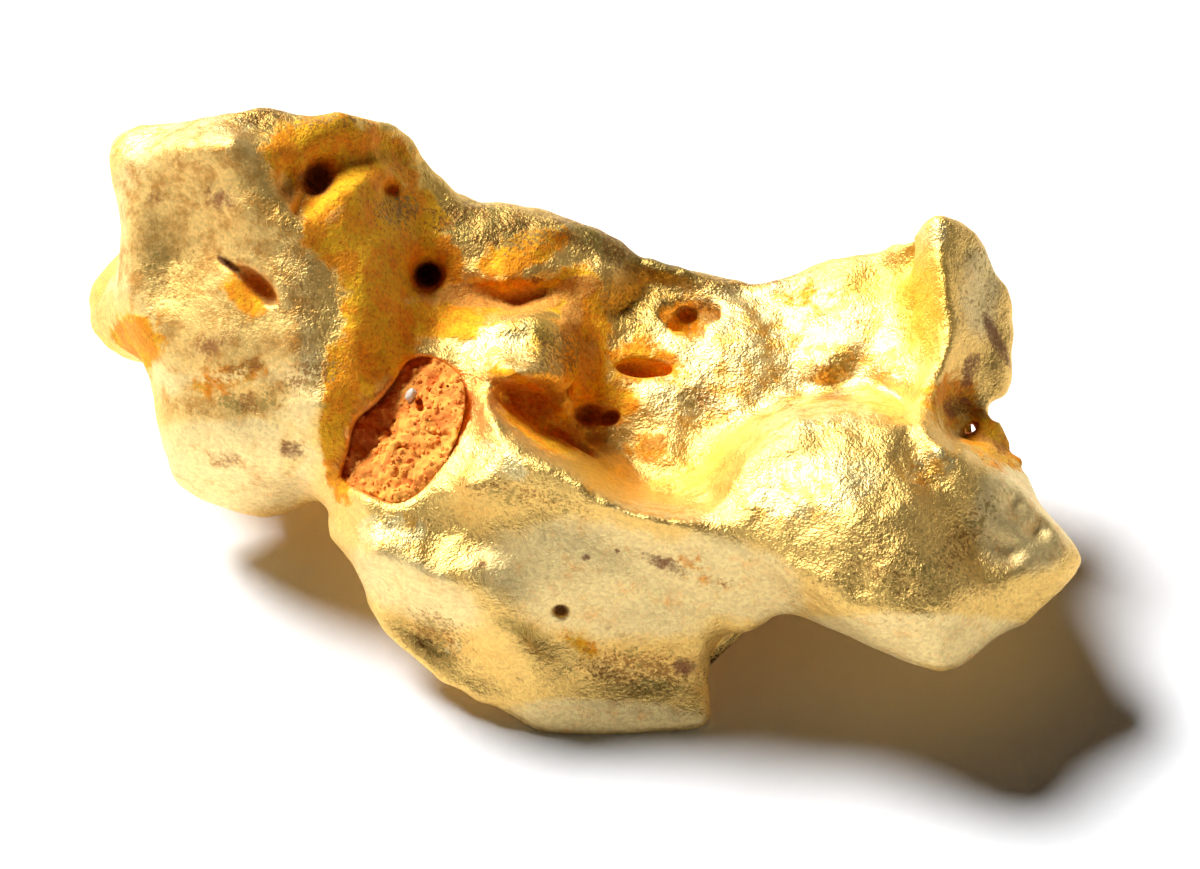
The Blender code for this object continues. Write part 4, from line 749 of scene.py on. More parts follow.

# painted highlight: a paler base colour where the lamp's highlights fall, in the basin and on high ground,
# so that they burn whiter
HIGHLIGHT_PATCHES = [
    (4.6, 2.0, 3.6, 2.0, 0, 1.4), (2.2, 2.0, 1.8, 2.0, 0, 1.0), (-2.2, 2.2, 1.5, 0.7, 0, 1.3),
    (5.2, -1.3, 2.0, 0.9, 10, 1.0), (-2.6, -0.6, 1.0, 0.35, -30, 1.3), (-5.2, -2.4, 0.9, 0.5, 0, 1.4),
    (1.6, -1.9, 1.5, 0.2, -8, 1.2), (-10.6, 7.5, 2.0, 0.35, 8, 1.5), (8.4, 5.1, 0.4, 0.5, 0, 1.0),
    (-3.7, -5.3, 0.3, 0.25, 0, 1.0), (8.2, -0.8, 0.5, 0.9, -60, 0.8), (-12.4, 4.5, 0.9, 1.2, 0, 0.8),
]

# red clay left as a film in the creases
CLAY_FILM = [
    (-3.2, 3.5, 1.0, 0.35, -8, 1.2), (-1.9, 3.4, 1.1, 0.38, 3, 1.2), (-0.6, 3.7, 0.9, 0.35, 15, 1.15),
    (-0.7, 3.1, 0.35, 0.7, 0, 1.0), (-0.3, 1.9, 0.4, 0.9, 0, 0.85), (-4.2, 3.5, 0.7, 0.35, -10, 0.75),
    (-1.9, 0.9, 1.1, 0.3, -36, 1.15), (-0.1, 0.5, 0.7, 0.35, 0, 1.1), (1.1, 1.75, 0.9, 0.2, 5, 0.8),
    (-8.55, 3.72, 0.7, 0.26, -44, 0.9), (-7.3, 6.3, 0.6, 0.45, 60, 0.6), (0.6, 1.3, 0.6, 0.3, 10, 0.7),
    (-4.9, 0.2, 2.05, 1.45, 47, 1.0), (-2.9, 2.9, 0.9, 0.25, 30, 0.5), (-6.6, 5.5, 0.5, 0.2, 50, 0.7),
    (0.9, 4.0, 0.5, 0.15, 10, 0.5), (1.4, -0.2, 0.5, 0.3, 20, 0.7), (9.9, -0.3, 0.8, 0.3, -35, 0.7),
]

# purple-brown tarnish on the fin, the curl and the front, and painted shade: the same dark purple inside
# the holes and slots and under the bulge's fold
TARNISH_AND_HOLE_SHADE = [
    (10.0, 2.4, 0.25, 1.0, 25, 0.9), (9.3, 1.6, 0.3, 0.8, -20, 0.8), (9.0, 0.7, 0.6, 0.5, 0, 0.8),
    (2.1, -5.8, 0.45, 0.3, 0, 0.9), (1.6, -3.2, 0.9, 0.3, -25, 0.8), (3.0, -3.6, 0.7, 0.3, -20, 0.6),
    (-9.4, 5.9, 0.7, 0.5, 0, 0.75), (-8.9, 7.25, 0.6, 0.2, 0, 0.55), (-9.4, -0.6, 0.8, 0.5, 0, 0.6),
    (-7.7, -0.4, 0.5, 0.4, 0, 0.8), (-1.65, 3.9, 0.35, 0.15, 0, 0.8), (-9.7, 2.3, 1.2, 0.5, 30, 0.65),
    (-7.7, 8.0, 0.7, 0.15, 0, 0.6), (-0.98, -4.38, 0.2, 0.17, 0, 1.3), (-11.2, 5.9, 0.5, 0.4, 0, 0.6),
    (-8.5, 3.7, 0.6, 0.2, -44, 1.3), (-9.3, 4.25, 0.4, 0.1, -36, 1.2), (0.6, -5.0, 1.0, 0.3, -20, 0.6),
    (-2.93, -3.22, 0.12, 0.1, 0, 1.2), (-0.35, -3.05, 0.14, 0.11, 0, 1.2), (0.42, -2.9, 0.1, 0.1, 0, 1.1),
    (-7.1, 6.35, 0.5, 0.5, 0, 1.1), (-4.35, 4.05, 0.4, 0.38, 0, 1.2), (1.3, 2.2, 0.9, 0.25, 0, 0.5),
    (-3.9, -0.6, 0.5, 0.4, 0, 0.3), (-9.0, 1.6, 1.2, 0.35, 20, 0.7), (3.9, 0.3, 0.6, 0.2, 0, 0.3),
]

# thin brown stain on the block, and a little on the bulge
AGED_FACES = [
    (-9.9, 5.0, 2.5, 2.9, 0, 1.0), (-9.4, 2.6, 2.6, 1.5, 0, 0.85), (-8.2, 4.4, 1.6, 2.4, 0, 0.8),
    (-9.3, 0.9, 2.0, 0.7, 5, 0.75), (-9.0, -0.9, 2.4, 1.2, 0, 0.35), (-7.7, -0.4, 0.6, 1.0, 0, 0.5),
]

# painted shade: dark olive in hollows, folds and recesses, and on the dome's shaded lower side
OLIVE_SHADE_PATCHES = [
    (-10.8, 4.4, 0.9, 1.5, 10, 0.6), (-10.4, 3.3, 0.8, 0.6, 0, 0.5), (-8.6, 2.9, 1.1, 0.4, -20, 0.6),
    (-8.8, 0.7, 1.1, 0.3, 8, 0.6), (-8.0, 7.8, 1.1, 0.3, -5, 0.9), (-4.9, 5.6, 0.4, 0.3, -40, 0.7),
    (-3.0, -2.6, 1.3, 0.5, -30, 0.3), (-1.9, -4.9, 1.0, 0.3, -25, 0.9), (0.6, -5.7, 1.8, 0.6, -8, 0.05),
    (-4.6, -4.9, 1.0, 0.5, -30, 0.8), (-2.8, 5.3, 1.3, 0.5, -10, 1.2), (1.0, 4.5, 2.2, 0.4, -22, 1.2),
    (6.8, -3.8, 2.4, 0.7, -8, 0.15), (-1.3, 2.2, 0.5, 0.6, 0, 0.3),
]

# dark flecks in the skin, and painted shade: flecks laid thick in grooves, folds, recesses and along the
# dark shoulder of the front ridge
FLECKS_AND_SHADE = [
    (-2.8, 5.3, 1.6, 0.6, -10, 1.6), (0.6, 4.7, 2.2, 0.5, -22, 1.6), (3.6, 3.9, 2.6, 0.35, 0, 0.9),
    (1.3, 3.3, 1.5, 0.6, 0, 0.8), (9.6, 3.6, 0.9, 2.2, 0, 0.6), (7.0, -3.4, 3.0, 1.1, -8, 0.7),
    (-7.6, 8.0, 2.6, 0.4, 0, 1.0), (0.9, -5.9, 1.9, 0.6, -5, 1.1), (-1.1, 2.0, 0.8, 0.7, 0, 1.4),
    (-2.2, -1.4, 2.2, 0.4, -12, 0.8), (4.5, 0.9, 2.6, 0.5, 10, 0.7), (-10.8, 4.0, 0.9, 0.9, 0, 0.7),
    (-4.1, -5.0, 1.1, 0.7, -20, 0.9), (5.9, 1.7, 0.7, 0.4, 20, 1.3), (-5.1, 5.6, 0.7, 0.5, 0, 1.0),
    (-8.8, 0.8, 0.9, 0.3, 0, 1.2), (3.4, 0.5, 1.2, 0.4, 0, 0.8), (2.4, 0.9, 0.7, 0.3, 0, 1.2),
    (9.0, -2.6, 0.5, 1.6, -40, 0.9), (-7.2, 1.5, 0.9, 0.5, 30, 1.0), (2.7, 3.3, 0.6, 0.25, 0, 1.0),
]
print(sum(map(len, (BLOOM, GILT, HIGHLIGHT_PATCHES, CLAY_FILM, TARNISH_AND_HOLE_SHADE, AGED_FACES, OLIVE_SHADE_PATCHES, FLECKS_AND_SHADE))), "patches")

# %% Patches kept on the mesh
def keep_attribute(mesh, name, values):
    attribute = mesh.attributes.new(name, "FLOAT", "POINT")
    attribute.data.foreach_set("value", np.clip(values, 0, 1).astype(np.float32))


def on_display(points):
    """Whether each point lies on the display side, not far below its sheet."""
    i = ((points[:, 0] - LOW[0]) / VOXEL).astype(int).clip(0, top.shape[0] - 1)
    j = ((points[:, 1] - LOW[1]) / VOXEL).astype(int).clip(0, top.shape[1] - 1)
    return points[:, 2] > top[i, j] - DISPLAY_DEPTH


PAINTED = {"bloom": BLOOM, "gilt": GILT, "clay_film": CLAY_FILM, "tarnish_and_shade": TARNISH_AND_HOLE_SHADE, "rubbed": RUBBED,
           "painted_highlight": HIGHLIGHT_PATCHES, "aged": AGED_FACES, "olive_shade": OLIVE_SHADE_PATCHES, "flecks_and_shade": FLECKS_AND_SHADE}
DISPLAY_DEPTH = 2.8                  # how far the painted patches reach down, in millimetres
HIDDEN_SIDE = {"bloom": 0.15, "gilt": 0.6}
shown = on_display(nugget_drawn)
for name, spots in PAINTED.items():
    amounts = np.where(shown, patches(spots, nugget_drawn), HIDDEN_SIDE.get(name, 0.0))
    keep_attribute(nugget.data, name, amounts)
print("painted", len(PAINTED), "layers on", len(nugget_drawn), "points")

# %% [markdown]
# ## Building materials in short lines
# Every finish here is a node tree. A few helpers keep the trees readable: one adds a node and fills
# its sockets, one mixes two colours by a factor, and one reads an attribute. Patterns run on Object
# coordinates in millimetres, so a noise scale of 10 gives lumps a tenth of a millimetre across.

# %% Node helpers
def new_material(name):
    material = bpy.data.materials.new(name)
    material.use_nodes = True
    return material, material.node_tree, material.node_tree.nodes["Principled BSDF"]


def fill(tree, socket, value):
    """Link a socket to another node's output, or set its own value."""
    if isinstance(value, bpy.types.NodeSocket):
        tree.links.new(value, socket)
    elif hasattr(socket.default_value, "__len__") and len(socket.default_value) == 4:
        socket.default_value = (*value, 1.0)
    else:
        socket.default_value = value


def add(tree, kind, output=0, settings=(), **inputs):
    """A new node, with its inputs filled by name, and the output that was asked for."""
    node = tree.nodes.new(kind)
    for name, value in dict(settings).items():
        setattr(node, name, value)
    for name, value in inputs.items():
        fill(tree, node.inputs[int(name[1:]) if name[1:].isdigit() else name.replace("_", " ")], value)
    return node.outputs[output]


def attribute(tree, name):
    return add(tree, "ShaderNodeAttribute", "Fac", {"attribute_name": name})


def math_node(tree, operation, a, b=0.0, clamp=False):
    return add(tree, "ShaderNodeMath", 0, {"operation": operation, "use_clamp": clamp}, _0=a, _1=b)


def step(tree, value, low, high, to_low=0.0, to_high=1.0):
    """Read a value between two limits as a smooth ramp from one number to another."""
    return add(tree, "ShaderNodeMapRange", 0, {"interpolation_type": "SMOOTHSTEP"}, Value=value,
               From_Min=low, From_Max=high, To_Min=to_low, To_Max=to_high)


def mixed(tree, factor, a, b):
    """Two colours, mixed by a factor."""
    return add(tree, "ShaderNodeMix", 2, {"data_type": "RGBA"}, _0=factor, _6=a, _7=b)


def weighted(tree, *pairs):
    """The sum of (value, weight) pairs."""
    total = 0.0
    for value, weight in pairs:
        total = add(tree, "ShaderNodeMath", 0, {"operation": "MULTIPLY_ADD"}, _0=value, _1=weight, _2=total)
    return total


print("node helpers ready")

# %% Pattern helpers
def millimetres(tree):
    return add(tree, "ShaderNodeMapping", 0, {}, Vector=add(tree, "ShaderNodeTexCoord", "Object"),
               Scale=(1 / MM,) * 3)


def noise(tree, scale, detail=2.0, rough=0.5, stretch=None, warp=0.0):
    """A noise of about this many lumps to a millimetre; stretch squeezes it along an axis."""
    place = millimetres(tree)
    if stretch:
        place = add(tree, "ShaderNodeMapping", 0, {}, Vector=place, Scale=stretch[:3], Rotation=stretch[3:])
    return add(tree, "ShaderNodeTexNoise", 0, {}, Vector=place, Scale=scale, Detail=detail,
               Roughness=rough, Distortion=warp)


def cells(tree, scale, output="Distance", jitter=0.25):
    """Grains of about this many to a millimetre: how far from each grain's middle, or its own colour."""
    ragged = add(tree, "ShaderNodeTexNoise", 1, {}, Vector=millimetres(tree), Scale=scale)
    place = add(tree, "ShaderNodeVectorMath", 0, {"operation": "MULTIPLY_ADD"}, _0=ragged,
                _1=(jitter,) * 3, _2=millimetres(tree))
    return add(tree, "ShaderNodeTexVoronoi", output, {}, Vector=place, Scale=scale)


def grain_by_grain(tree, scale, jitter):
    """A number between 0 and 1 for each grain, on cells of this scale."""
    return add(tree, "ShaderNodeSeparateColor", 0, {}, Color=cells(tree, scale, "Color", jitter))


print("pattern helpers ready")

# %% [markdown]
# ## Native gold
# Gold has no paint: its colour is what it reflects, so the base colour sets the tint and the
# roughness sets how the studio smears over it. Faces rubbed by gravel are pale, sheltered ones are
# deeper. The skin is a fine cast grain: bumps from a twentieth to a fifth of a millimetre across, so
# neighbouring grains mirror different parts of the room. Stains sit on top. They are iron oxide, a
# powder, so where they cover the metal the shader turns less metallic and scatters light instead.

# %% Gold's colours
FRESH = (1.0, 0.65, 0.19)
PALE = (1.0, 0.76, 0.34)
SMEARED = (0.96, 0.60, 0.22)         # orange-tan smears on rubbed faces
# painted highlight colours, a pale and a deeper part, for where the lamp's highlights fall
HIGHLIGHT_PALE = (1.0, 0.76, 0.33)          # bright metal, its light and deep parts
HIGHLIGHT_DEEP = (0.98, 0.56, 0.12)
AGED = (0.95, 0.64, 0.21)            # thinly stained metal, its light and dark parts
AGED_DARK = (0.68, 0.36, 0.09)
DEEP = (1.0, 0.61, 0.08)
AMBER = (1.0, 0.54, 0.02)            # iron bloom: yellow, orange and dark parts
ORANGE = (1.0, 0.37, 0.014)
AMBER_DARK = (0.82, 0.25, 0.01)
OLIVE = (0.48, 0.33, 0.09)
BROWN = (0.40, 0.18, 0.045)
RED_CLAY = (0.98, 0.46, 0.08)
RED_CLAY_DARK = (0.85, 0.30, 0.04)
PURPLE = (0.30, 0.11, 0.05)

print("gold's tint:", FRESH)

# %% Gold's layers
# each painted layer: the limits between which its edge lies, and the noises that break the edge up
LAYERS = {
    "rubbed": (0.62, 0.95, {"cloud": 0.5}), "painted_highlight": (0.65, 1.0, {"blotch": 0.6}),
    "aged": (0.7, 1.1, {"blotch": 0.9}), "bloom": (1.35, 1.75, {"grain": 0.4, "blotch": 1.8}),
    "clay_film": (1.35, 1.75, {"grain": 0.4, "blotch": 1.4}),
    "tarnish_and_shade": (1.35, 1.75, {"grain": 0.7, "blotch": 1.0}),
}
DULLING = {"bloom": 0.6, "clay_film": 0.9, "tarnish_and_shade": 0.4}     # how much each stain hides the metal
GRAIN_SHADES = (0.87, 1.06)          # how much neighbouring grains differ in brightness
GRAINS = 12.0                        # to a millimetre


def cover(tree, name, worn, noises):
    """How far a painted layer hides what is below it, with a broken edge."""
    low, high, shares = LAYERS[name]
    ragged = [(noises[noise_name], share) for noise_name, share in shares.items()]
    return step(tree, weighted(tree, (worn[name], 1.0), *ragged), low, high)


def gold_colour(tree, worn, noises):
    """Base colour, how dull the stains make it, and how rubbed it is."""
    cloud, blotch, crumbly = noises["cloud"], noises["blotch"], noises["crumbly"]
    covers = {name: cover(tree, name, worn, noises) for name in LAYERS}
    metal = mixed(tree, step(tree, blotch, 0.50, 0.66, 0.0, 0.7), PALE, SMEARED)
    colour = mixed(tree, covers["rubbed"], FRESH, metal)
    # painted highlight: a paler base colour where the lamp's highlights fall
    glow = mixed(tree, step(tree, blotch, 0.46, 0.60), HIGHLIGHT_PALE, HIGHLIGHT_DEEP)
    colour = mixed(tree, covers["painted_highlight"], colour, glow)
    thin_stain = mixed(tree, step(tree, blotch, 0.42, 0.62), AGED, AGED_DARK)
    colour = mixed(tree, covers["aged"], colour, thin_stain)
    colour = mixed(tree, weighted(tree, (worn["gilt"], 0.85)), colour, DEEP)
    # painted shade: dark olive laid into hollows, folds and recesses
    olive_shade_cover = step(tree, weighted(tree, (worn["olive_shade"], 0.8), (blotch, 0.7)), 0.5, 1.4)
    colour = mixed(tree, olive_shade_cover, colour, OLIVE)

    rust = mixed(tree, step(tree, weighted(tree, (blotch, 0.5), (cloud, 0.5)), 0.44, 0.56), AMBER, ORANGE)
    rust = mixed(tree, step(tree, crumbly, 0.50, 0.66), rust, AMBER_DARK)
    colour = mixed(tree, covers["bloom"], colour, rust)
    # dark flecks, laid thickest where they stand in for shade in grooves, folds and recesses
    fleck = step(tree, weighted(tree, (crumbly, 1.0), (cloud, 0.2), (worn["flecks_and_shade"], 0.22)), 0.74, 0.84)
    fleck_colour = mixed(tree, step(tree, cloud, 0.45, 0.55), BROWN, OLIVE)
    colour = mixed(tree, weighted(tree, (fleck, 0.85)), colour, fleck_colour)
    # purple tarnish, and painted shade inside the holes and slots and under the bulge's fold
    colour = mixed(tree, weighted(tree, (covers["tarnish_and_shade"], 0.8)), colour, PURPLE)
    film = mixed(tree, step(tree, crumbly, 0.44, 0.6), RED_CLAY, RED_CLAY_DARK)
    colour = mixed(tree, covers["clay_film"], colour, film)

    shade = step(tree, grain_by_grain(tree, GRAINS, 0.06), 0.0, 1.0, *GRAIN_SHADES)
    colour = add(tree, "ShaderNodeVectorMath", 0, {"operation": "SCALE"}, _0=colour, Scale=shade)
    dull = weighted(tree, *((covers[name], share) for name, share in DULLING.items()))
    return colour, dull, covers["rubbed"]


# %% Gold material
GOLD_ROUGHNESS = (0.50, 0.56)        # sheltered, rubbed
GRAIN_DEPTH = 0.030                  # millimetres
SCRATCH_DEPTH = 0.010


def gold_material():
    material, tree, shader = new_material("native_gold")
    worn = {name: attribute(tree, name) for name in PAINTED}
    noises = {"cloud": noise(tree, 1.2, 4.0, 0.6), "blotch": noise(tree, 1.8, 6.0, 0.72, warp=0.15),
              "crumbly": noise(tree, 9.0, 4.0, 0.75), "grain": noise(tree, 13.0, 3.0, 0.65)}
    colour, dull, rub = gold_colour(tree, worn, noises)
    fill(tree, shader.inputs["Base Color"], colour)
    fill(tree, shader.inputs["Metallic"], math_node(tree, "SUBTRACT", 1.0, dull, True))
    rough = step(tree, rub, 0.0, 1.0, *GOLD_ROUGHNESS)
    fill(tree, shader.inputs["Roughness"], weighted(tree, (rough, 1.0), (dull, 0.3)))
    shader.inputs["Specular IOR Level"].default_value = 0.2

    # the cast grain, weaker where gravel rubbed it, and fine scratches where it did
    crust = math_node(tree, "MULTIPLY", noises["crumbly"], dull)
    fine, coarse = noise(tree, 17.0, 2.0, 0.6), noise(tree, 5.0, 3.0, 0.65)
    skin = weighted(tree, (fine, 1.0), (coarse, 2.0), (crust, 1.8))
    scratch = noise(tree, 6.0, 3.0, 0.7, (1.0, 9.0, 9.0, 0.0, 0.5, 0.6))
    bump = add(tree, "ShaderNodeBump", "Normal", {}, Height=skin, Distance=GRAIN_DEPTH * MM,
               Strength=step(tree, rub, 0.0, 1.0, 1.0, 0.5))
    bump = add(tree, "ShaderNodeBump", "Normal", {}, Height=scratch, Distance=SCRATCH_DEPTH * MM,
               Strength=step(tree, rub, 0.0, 1.0, 0.3, 1.0), Normal=bump)
    fill(tree, shader.inputs["Normal"], bump)
    return material


nugget.data.materials.clear()
nugget.data.materials.append(gold_material())
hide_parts("gold_nugget")
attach(nugget, "root")
print("gold nodes:", len(nugget.data.materials[0].node_tree.nodes))

# %% [markdown]
# ## The ironstone clay
# Clay washed into the pocket and set hard. It fills the pocket snugly except along its lower left,
# where it has shrunk away and left a black crack, and its broken face has a step where one part
# sank. It is made like the metal, from a sheet of surveyed heights, at a finer pitch.

# %% Clay's solid
CLAY_VOXEL = 0.04
CLAY_FIT = 0.02                      # how far the clay reaches into the metal, so that no gap shows
CLAY_ROUND = 0.06                    # rounding of the clay's edge, and of its cracks
CRACK_ROUND = 0.05
CRACK_DEPTH = 0.25                   # how far each crack reaches above and below its line
SHRINKAGE = [(-6.6, -0.8, 0.2, 0.16), (-6.4, -1.25, 0.4, 0.2), (-5.8, -1.65, 0.8, 0.18),
             (-5.3, -1.8, 1.0, 0.12)]
CLAY_CRACKS = {
    "step_crack": [(-5.15, 0.35, 0.2, 0.05), (-5.25, 0.02, 0.3, 0.06), (-5.55, -0.2, 0.3, 0.07),
                   (-6.0, -0.65, 0.2, 0.05)],
    "side_crack": [(-4.25, 1.1, 0.0, 0.05), (-3.8, 1.2, 0.0, 0.04)],
    "grain_hole": [(-4.52, 0.82, 0.2, 0.09), (-4.48, 0.66, 0.3, 0.09)],
}
CLAY_BROAD = [(0.7, 0.07), (0.4, 0.06)]
CLAY_CRUMBLY = [(0.26, 0.14), (0.14, 0.06)]
CLAY_SUNK = 0.04                     # keeps the crumbly face at the height that was surveyed

clay_low = np.array((*pocket_low, POCKET_BOTTOM - 0.3))
clay_high = np.array((*pocket_high, POCKET_MOUTH + 0.3))
cx, cy, cz = grid_axes(clay_low, clay_high, CLAY_VOXEL)
clay_face = surveyed_surface(CLAY_SPOTS, cx[..., 0], cy[..., 0])
clay_field = (cz - clay_face[..., None]) / slope_factor(clay_face, CLAY_VOXEL)
clay_field = clay_field + lumps(CLAY_BROAD, cx, cy, cz)
clay_field = clay_field - np.abs(lumps(CLAY_CRUMBLY, cx, cy, cz)) + CLAY_SUNK
clay_field = smooth_max(pocket_field(CLAY_FIT, cx, cy, cz), clay_field, CLAY_ROUND)
clay_field = smooth_max(clay_field, -ball_chain(SHRINKAGE, cx, cy, cz), CRACK_ROUND)
for crack in CLAY_CRACKS.values():
    deep = [(bx, by, bz + lift, r) for bx, by, bz, r in crack for lift in (CRACK_DEPTH, -CRACK_DEPTH)]
    clay_field = smooth_max(clay_field, -ball_chain(deep, cx, cy, cz), CRACK_ROUND)
clay = as_object("clay_surface", surface_of("clay_surface", clay_field, clay_low, CLAY_VOXEL))
clay_drawn = coordinates(clay.data)
set_places(clay.data, clay_drawn)
print("clay:", 2 * len(clay.data.polygons), "triangles")

# %% [markdown]
# ## Clay's finish
# Dry iron-rich clay scatters light like brick: rough, no shine and mottled with ochre, with shade
# painted darker into its cracks and hollows. How hollow a point is comes from the mesh itself: a copy
# of it is smoothed, and where the copy lies above the clay there is a hollow. It is kept as an
# attribute, as the patches are.

# %% Hollows
def hollowness(mesh, passes):
    """How far each point sinks below a smoothed copy of the mesh, in the mesh's units."""
    points, normals = coordinates(mesh), coordinates(mesh, "normal")
    ends = np.empty(len(mesh.edges) * 2, np.int32)
    mesh.edges.foreach_get("vertices", ends)
    a, b = ends.reshape(-1, 2).T
    count = np.bincount(np.r_[a, b], minlength=len(points))[:, None]
    smooth = points.copy()
    for _ in range(passes):
        total = np.stack([np.bincount(np.r_[a, b], np.r_[smooth[b, k], smooth[a, k]], len(points))
                          for k in range(3)], 1)
        smooth = 0.5 * smooth + 0.5 * total / count
    return ((smooth - points) * normals).sum(1)


HOLLOW_RANGE = 0.16                  # millimetres from a bump's top, kept as 0, to a hollow's bottom, 1
SMOOTHINGS = 20
keep_attribute(clay.data, "hollow", 0.5 + hollowness(clay.data, SMOOTHINGS) / MM / HOLLOW_RANGE)
print("hollows kept on", len(clay.data.vertices), "points")

# %% Clay material
# painted shade for the clay's cracks and hollows
CLAY_HOLLOW_SHADE = (0.34, 0.08, 0.012)
CLAY_RED = (0.80, 0.21, 0.025)
CLAY_OCHRE = (1.0, 0.42, 0.06)
CLAY_BLACK = (0.03, 0.012, 0.008)    # specks of manganese
CRUMB_DEPTH = 0.025                  # millimetres
CRUMBS_ACROSS = 4.0                  # to a millimetre


def clay_material():
    material, tree, shader = new_material("ironstone_clay")
    cloud = noise(tree, 2.0, 4.0, 0.65)
    grain = noise(tree, 12.0, 3.0, 0.7)
    crumb = cells(tree, CRUMBS_ACROSS, jitter=0.5)
    tone = weighted(tree, (cloud, 0.7), (grain, 0.3), (grain_by_grain(tree, CRUMBS_ACROSS, 0.5), 0.35))
    colour = mixed(tree, step(tree, tone, 0.45, 0.85), CLAY_RED, CLAY_OCHRE)
    # painted shade: the clay's cracks and hollows are darkened in its colour
    colour = mixed(tree, step(tree, attribute(tree, "hollow"), 0.55, 0.95), colour, CLAY_HOLLOW_SHADE)
    black = step(tree, noise(tree, 7.0, 2.0), 0.70, 0.76)
    colour = mixed(tree, math_node(tree, "MULTIPLY", black, 0.8), colour, CLAY_BLACK)
    fill(tree, shader.inputs["Base Color"], colour)
    shader.inputs["Roughness"].default_value = 0.82
    shader.inputs["Specular IOR Level"].default_value = 0.35
    rough = weighted(tree, (grain, 0.5), (crumb, -1.0))
    bump = add(tree, "ShaderNodeBump", "Normal", {}, Height=rough, Distance=CRUMB_DEPTH * MM)
    fill(tree, shader.inputs["Normal"], bump)
    return material


clay.data.materials.append(clay_material())
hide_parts("clay_plug")
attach(clay, "root")
print("clay is", np.round(1000 * np.ptp(coordinates(clay.data), 0), 2), "mm")

# %% [markdown]
# ## Crumbs in the clay
# The clay's face is littered with loose crumbs and sand. That is a job for Geometry Nodes: points
# are scattered over the faces that look outwards, a lumpy stone stands on each, and random size and
# turn keep any two from matching. The tree ends by making the copies real, with their material.

# %% Crumb tree
FACING = 0.35                        # how squarely a face must look outwards to hold crumbs
LUMPINESS = 1.6
MOSTLY_SMALL = 3.5                   # a higher power makes large crumbs rarer
FULL_TURN = (6.28,) * 3              # radians, about each axis


def vector_math(tree, operation, **inputs):
    return add(tree, "ShaderNodeVectorMath", 0, {"operation": operation}, **inputs)


def crumb_tree(material):
    tree = bpy.data.node_groups.new("crumbs", "GeometryNodeTree")
    tree.interface.new_socket("Geometry", in_out="INPUT", socket_type="NodeSocketGeometry")
    for name, kind in (("Density", "Float"), ("Smallest", "Float"), ("Largest", "Float"), ("Seed", "Int")):
        tree.interface.new_socket(name, in_out="INPUT", socket_type="NodeSocket" + kind)
    tree.interface.new_socket("Geometry", in_out="OUTPUT", socket_type="NodeSocketGeometry")
    given = tree.nodes.new("NodeGroupInput").outputs
    facing = add(tree, "ShaderNodeVectorMath", "Value", {"operation": "DOT_PRODUCT"},
                 _0=add(tree, "GeometryNodeInputNormal"), _1=OUTWARDS)
    exposed = add(tree, "FunctionNodeCompare", 0, {"operation": "GREATER_THAN"}, _0=facing, _1=FACING)
    scatter = add(tree, "GeometryNodeDistributePointsOnFaces", 0, {}, Mesh=given["Geometry"],
                  Selection=exposed, Density=given["Density"], Seed=given["Seed"])
    stone = add(tree, "GeometryNodeMeshIcoSphere", 0, {}, Radius=1.0, Subdivisions=2)
    lump = add(tree, "ShaderNodeTexNoise", 1, {"noise_dimensions": "3D"}, Scale=1.4, Detail=1.0)
    lump = vector_math(tree, "SUBTRACT", _0=lump, _1=(0.5, 0.5, 0.5))
    lump = vector_math(tree, "SCALE", _0=lump, Scale=LUMPINESS)
    stone = add(tree, "GeometryNodeSetPosition", 0, {}, Geometry=stone, Offset=lump)
    turn = add(tree, "FunctionNodeRandomValue", 0, {"data_type": "FLOAT_VECTOR"}, _0=(0, 0, 0),
               _1=FULL_TURN, Seed=given["Seed"])
    size = add(tree, "FunctionNodeRandomValue", 1, {"data_type": "FLOAT"}, _2=0.0, _3=1.0,
               Seed=given["Seed"])
    size = add(tree, "ShaderNodeMath", 0, {"operation": "POWER"}, _0=size, _1=MOSTLY_SMALL)
    size = add(tree, "ShaderNodeMapRange", 0, {}, Value=size, To_Min=given["Smallest"],
               To_Max=given["Largest"])
    crumbs = add(tree, "GeometryNodeInstanceOnPoints", 0, {}, Points=scatter, Instance=stone, Rotation=turn,
                 Scale=size)
    crumbs = add(tree, "GeometryNodeRealizeInstances", 0, {}, Geometry=crumbs)
    crumbs = add(tree, "GeometryNodeSetMaterial", 0, {}, Geometry=crumbs, Material=material)
    tree.links.new(crumbs, tree.nodes.new("NodeGroupOutput").inputs["Geometry"])
    return tree


print("crumbs turn by up to", round(math.degrees(FULL_TURN[0])), "degrees")

# %% Crumbs
CRUMB_DENSITY = 4.0e7                # to a square metre, which makes 40 to a square millimetre
CRUMB_SIZES = (0.018, 0.07)          # radii in millimetres
CRUMB_SEED = 5


def scattered(name, base, material, **sizes):
    """A mesh of what the crumb tree scatters over the base."""
    piece = as_object(name, base.copy())
    modifier = piece.modifiers.new("scatter", "NODES")
    modifier.node_group = crumb_tree(material)
    for item in modifier.node_group.interface.items_tree:
        if item.in_out == "INPUT" and item.name in sizes:
            modifier[item.identifier] = sizes[item.name]
    mesh = bpy.data.meshes.new_from_object(piece.evaluated_get(bpy.context.evaluated_depsgraph_get()))
    piece.modifiers.remove(modifier)
    piece.data = mesh
    return piece


def crumb_material():
    material, tree, shader = new_material("clay_crumbs")
    tone = step(tree, noise(tree, 4.5, 1.0), 0.25, 0.6)
    colour = mixed(tree, tone, CLAY_RED, CLAY_OCHRE)
    fill(tree, shader.inputs["Base Color"], colour)
    shader.inputs["Roughness"].default_value = 0.8
    return material


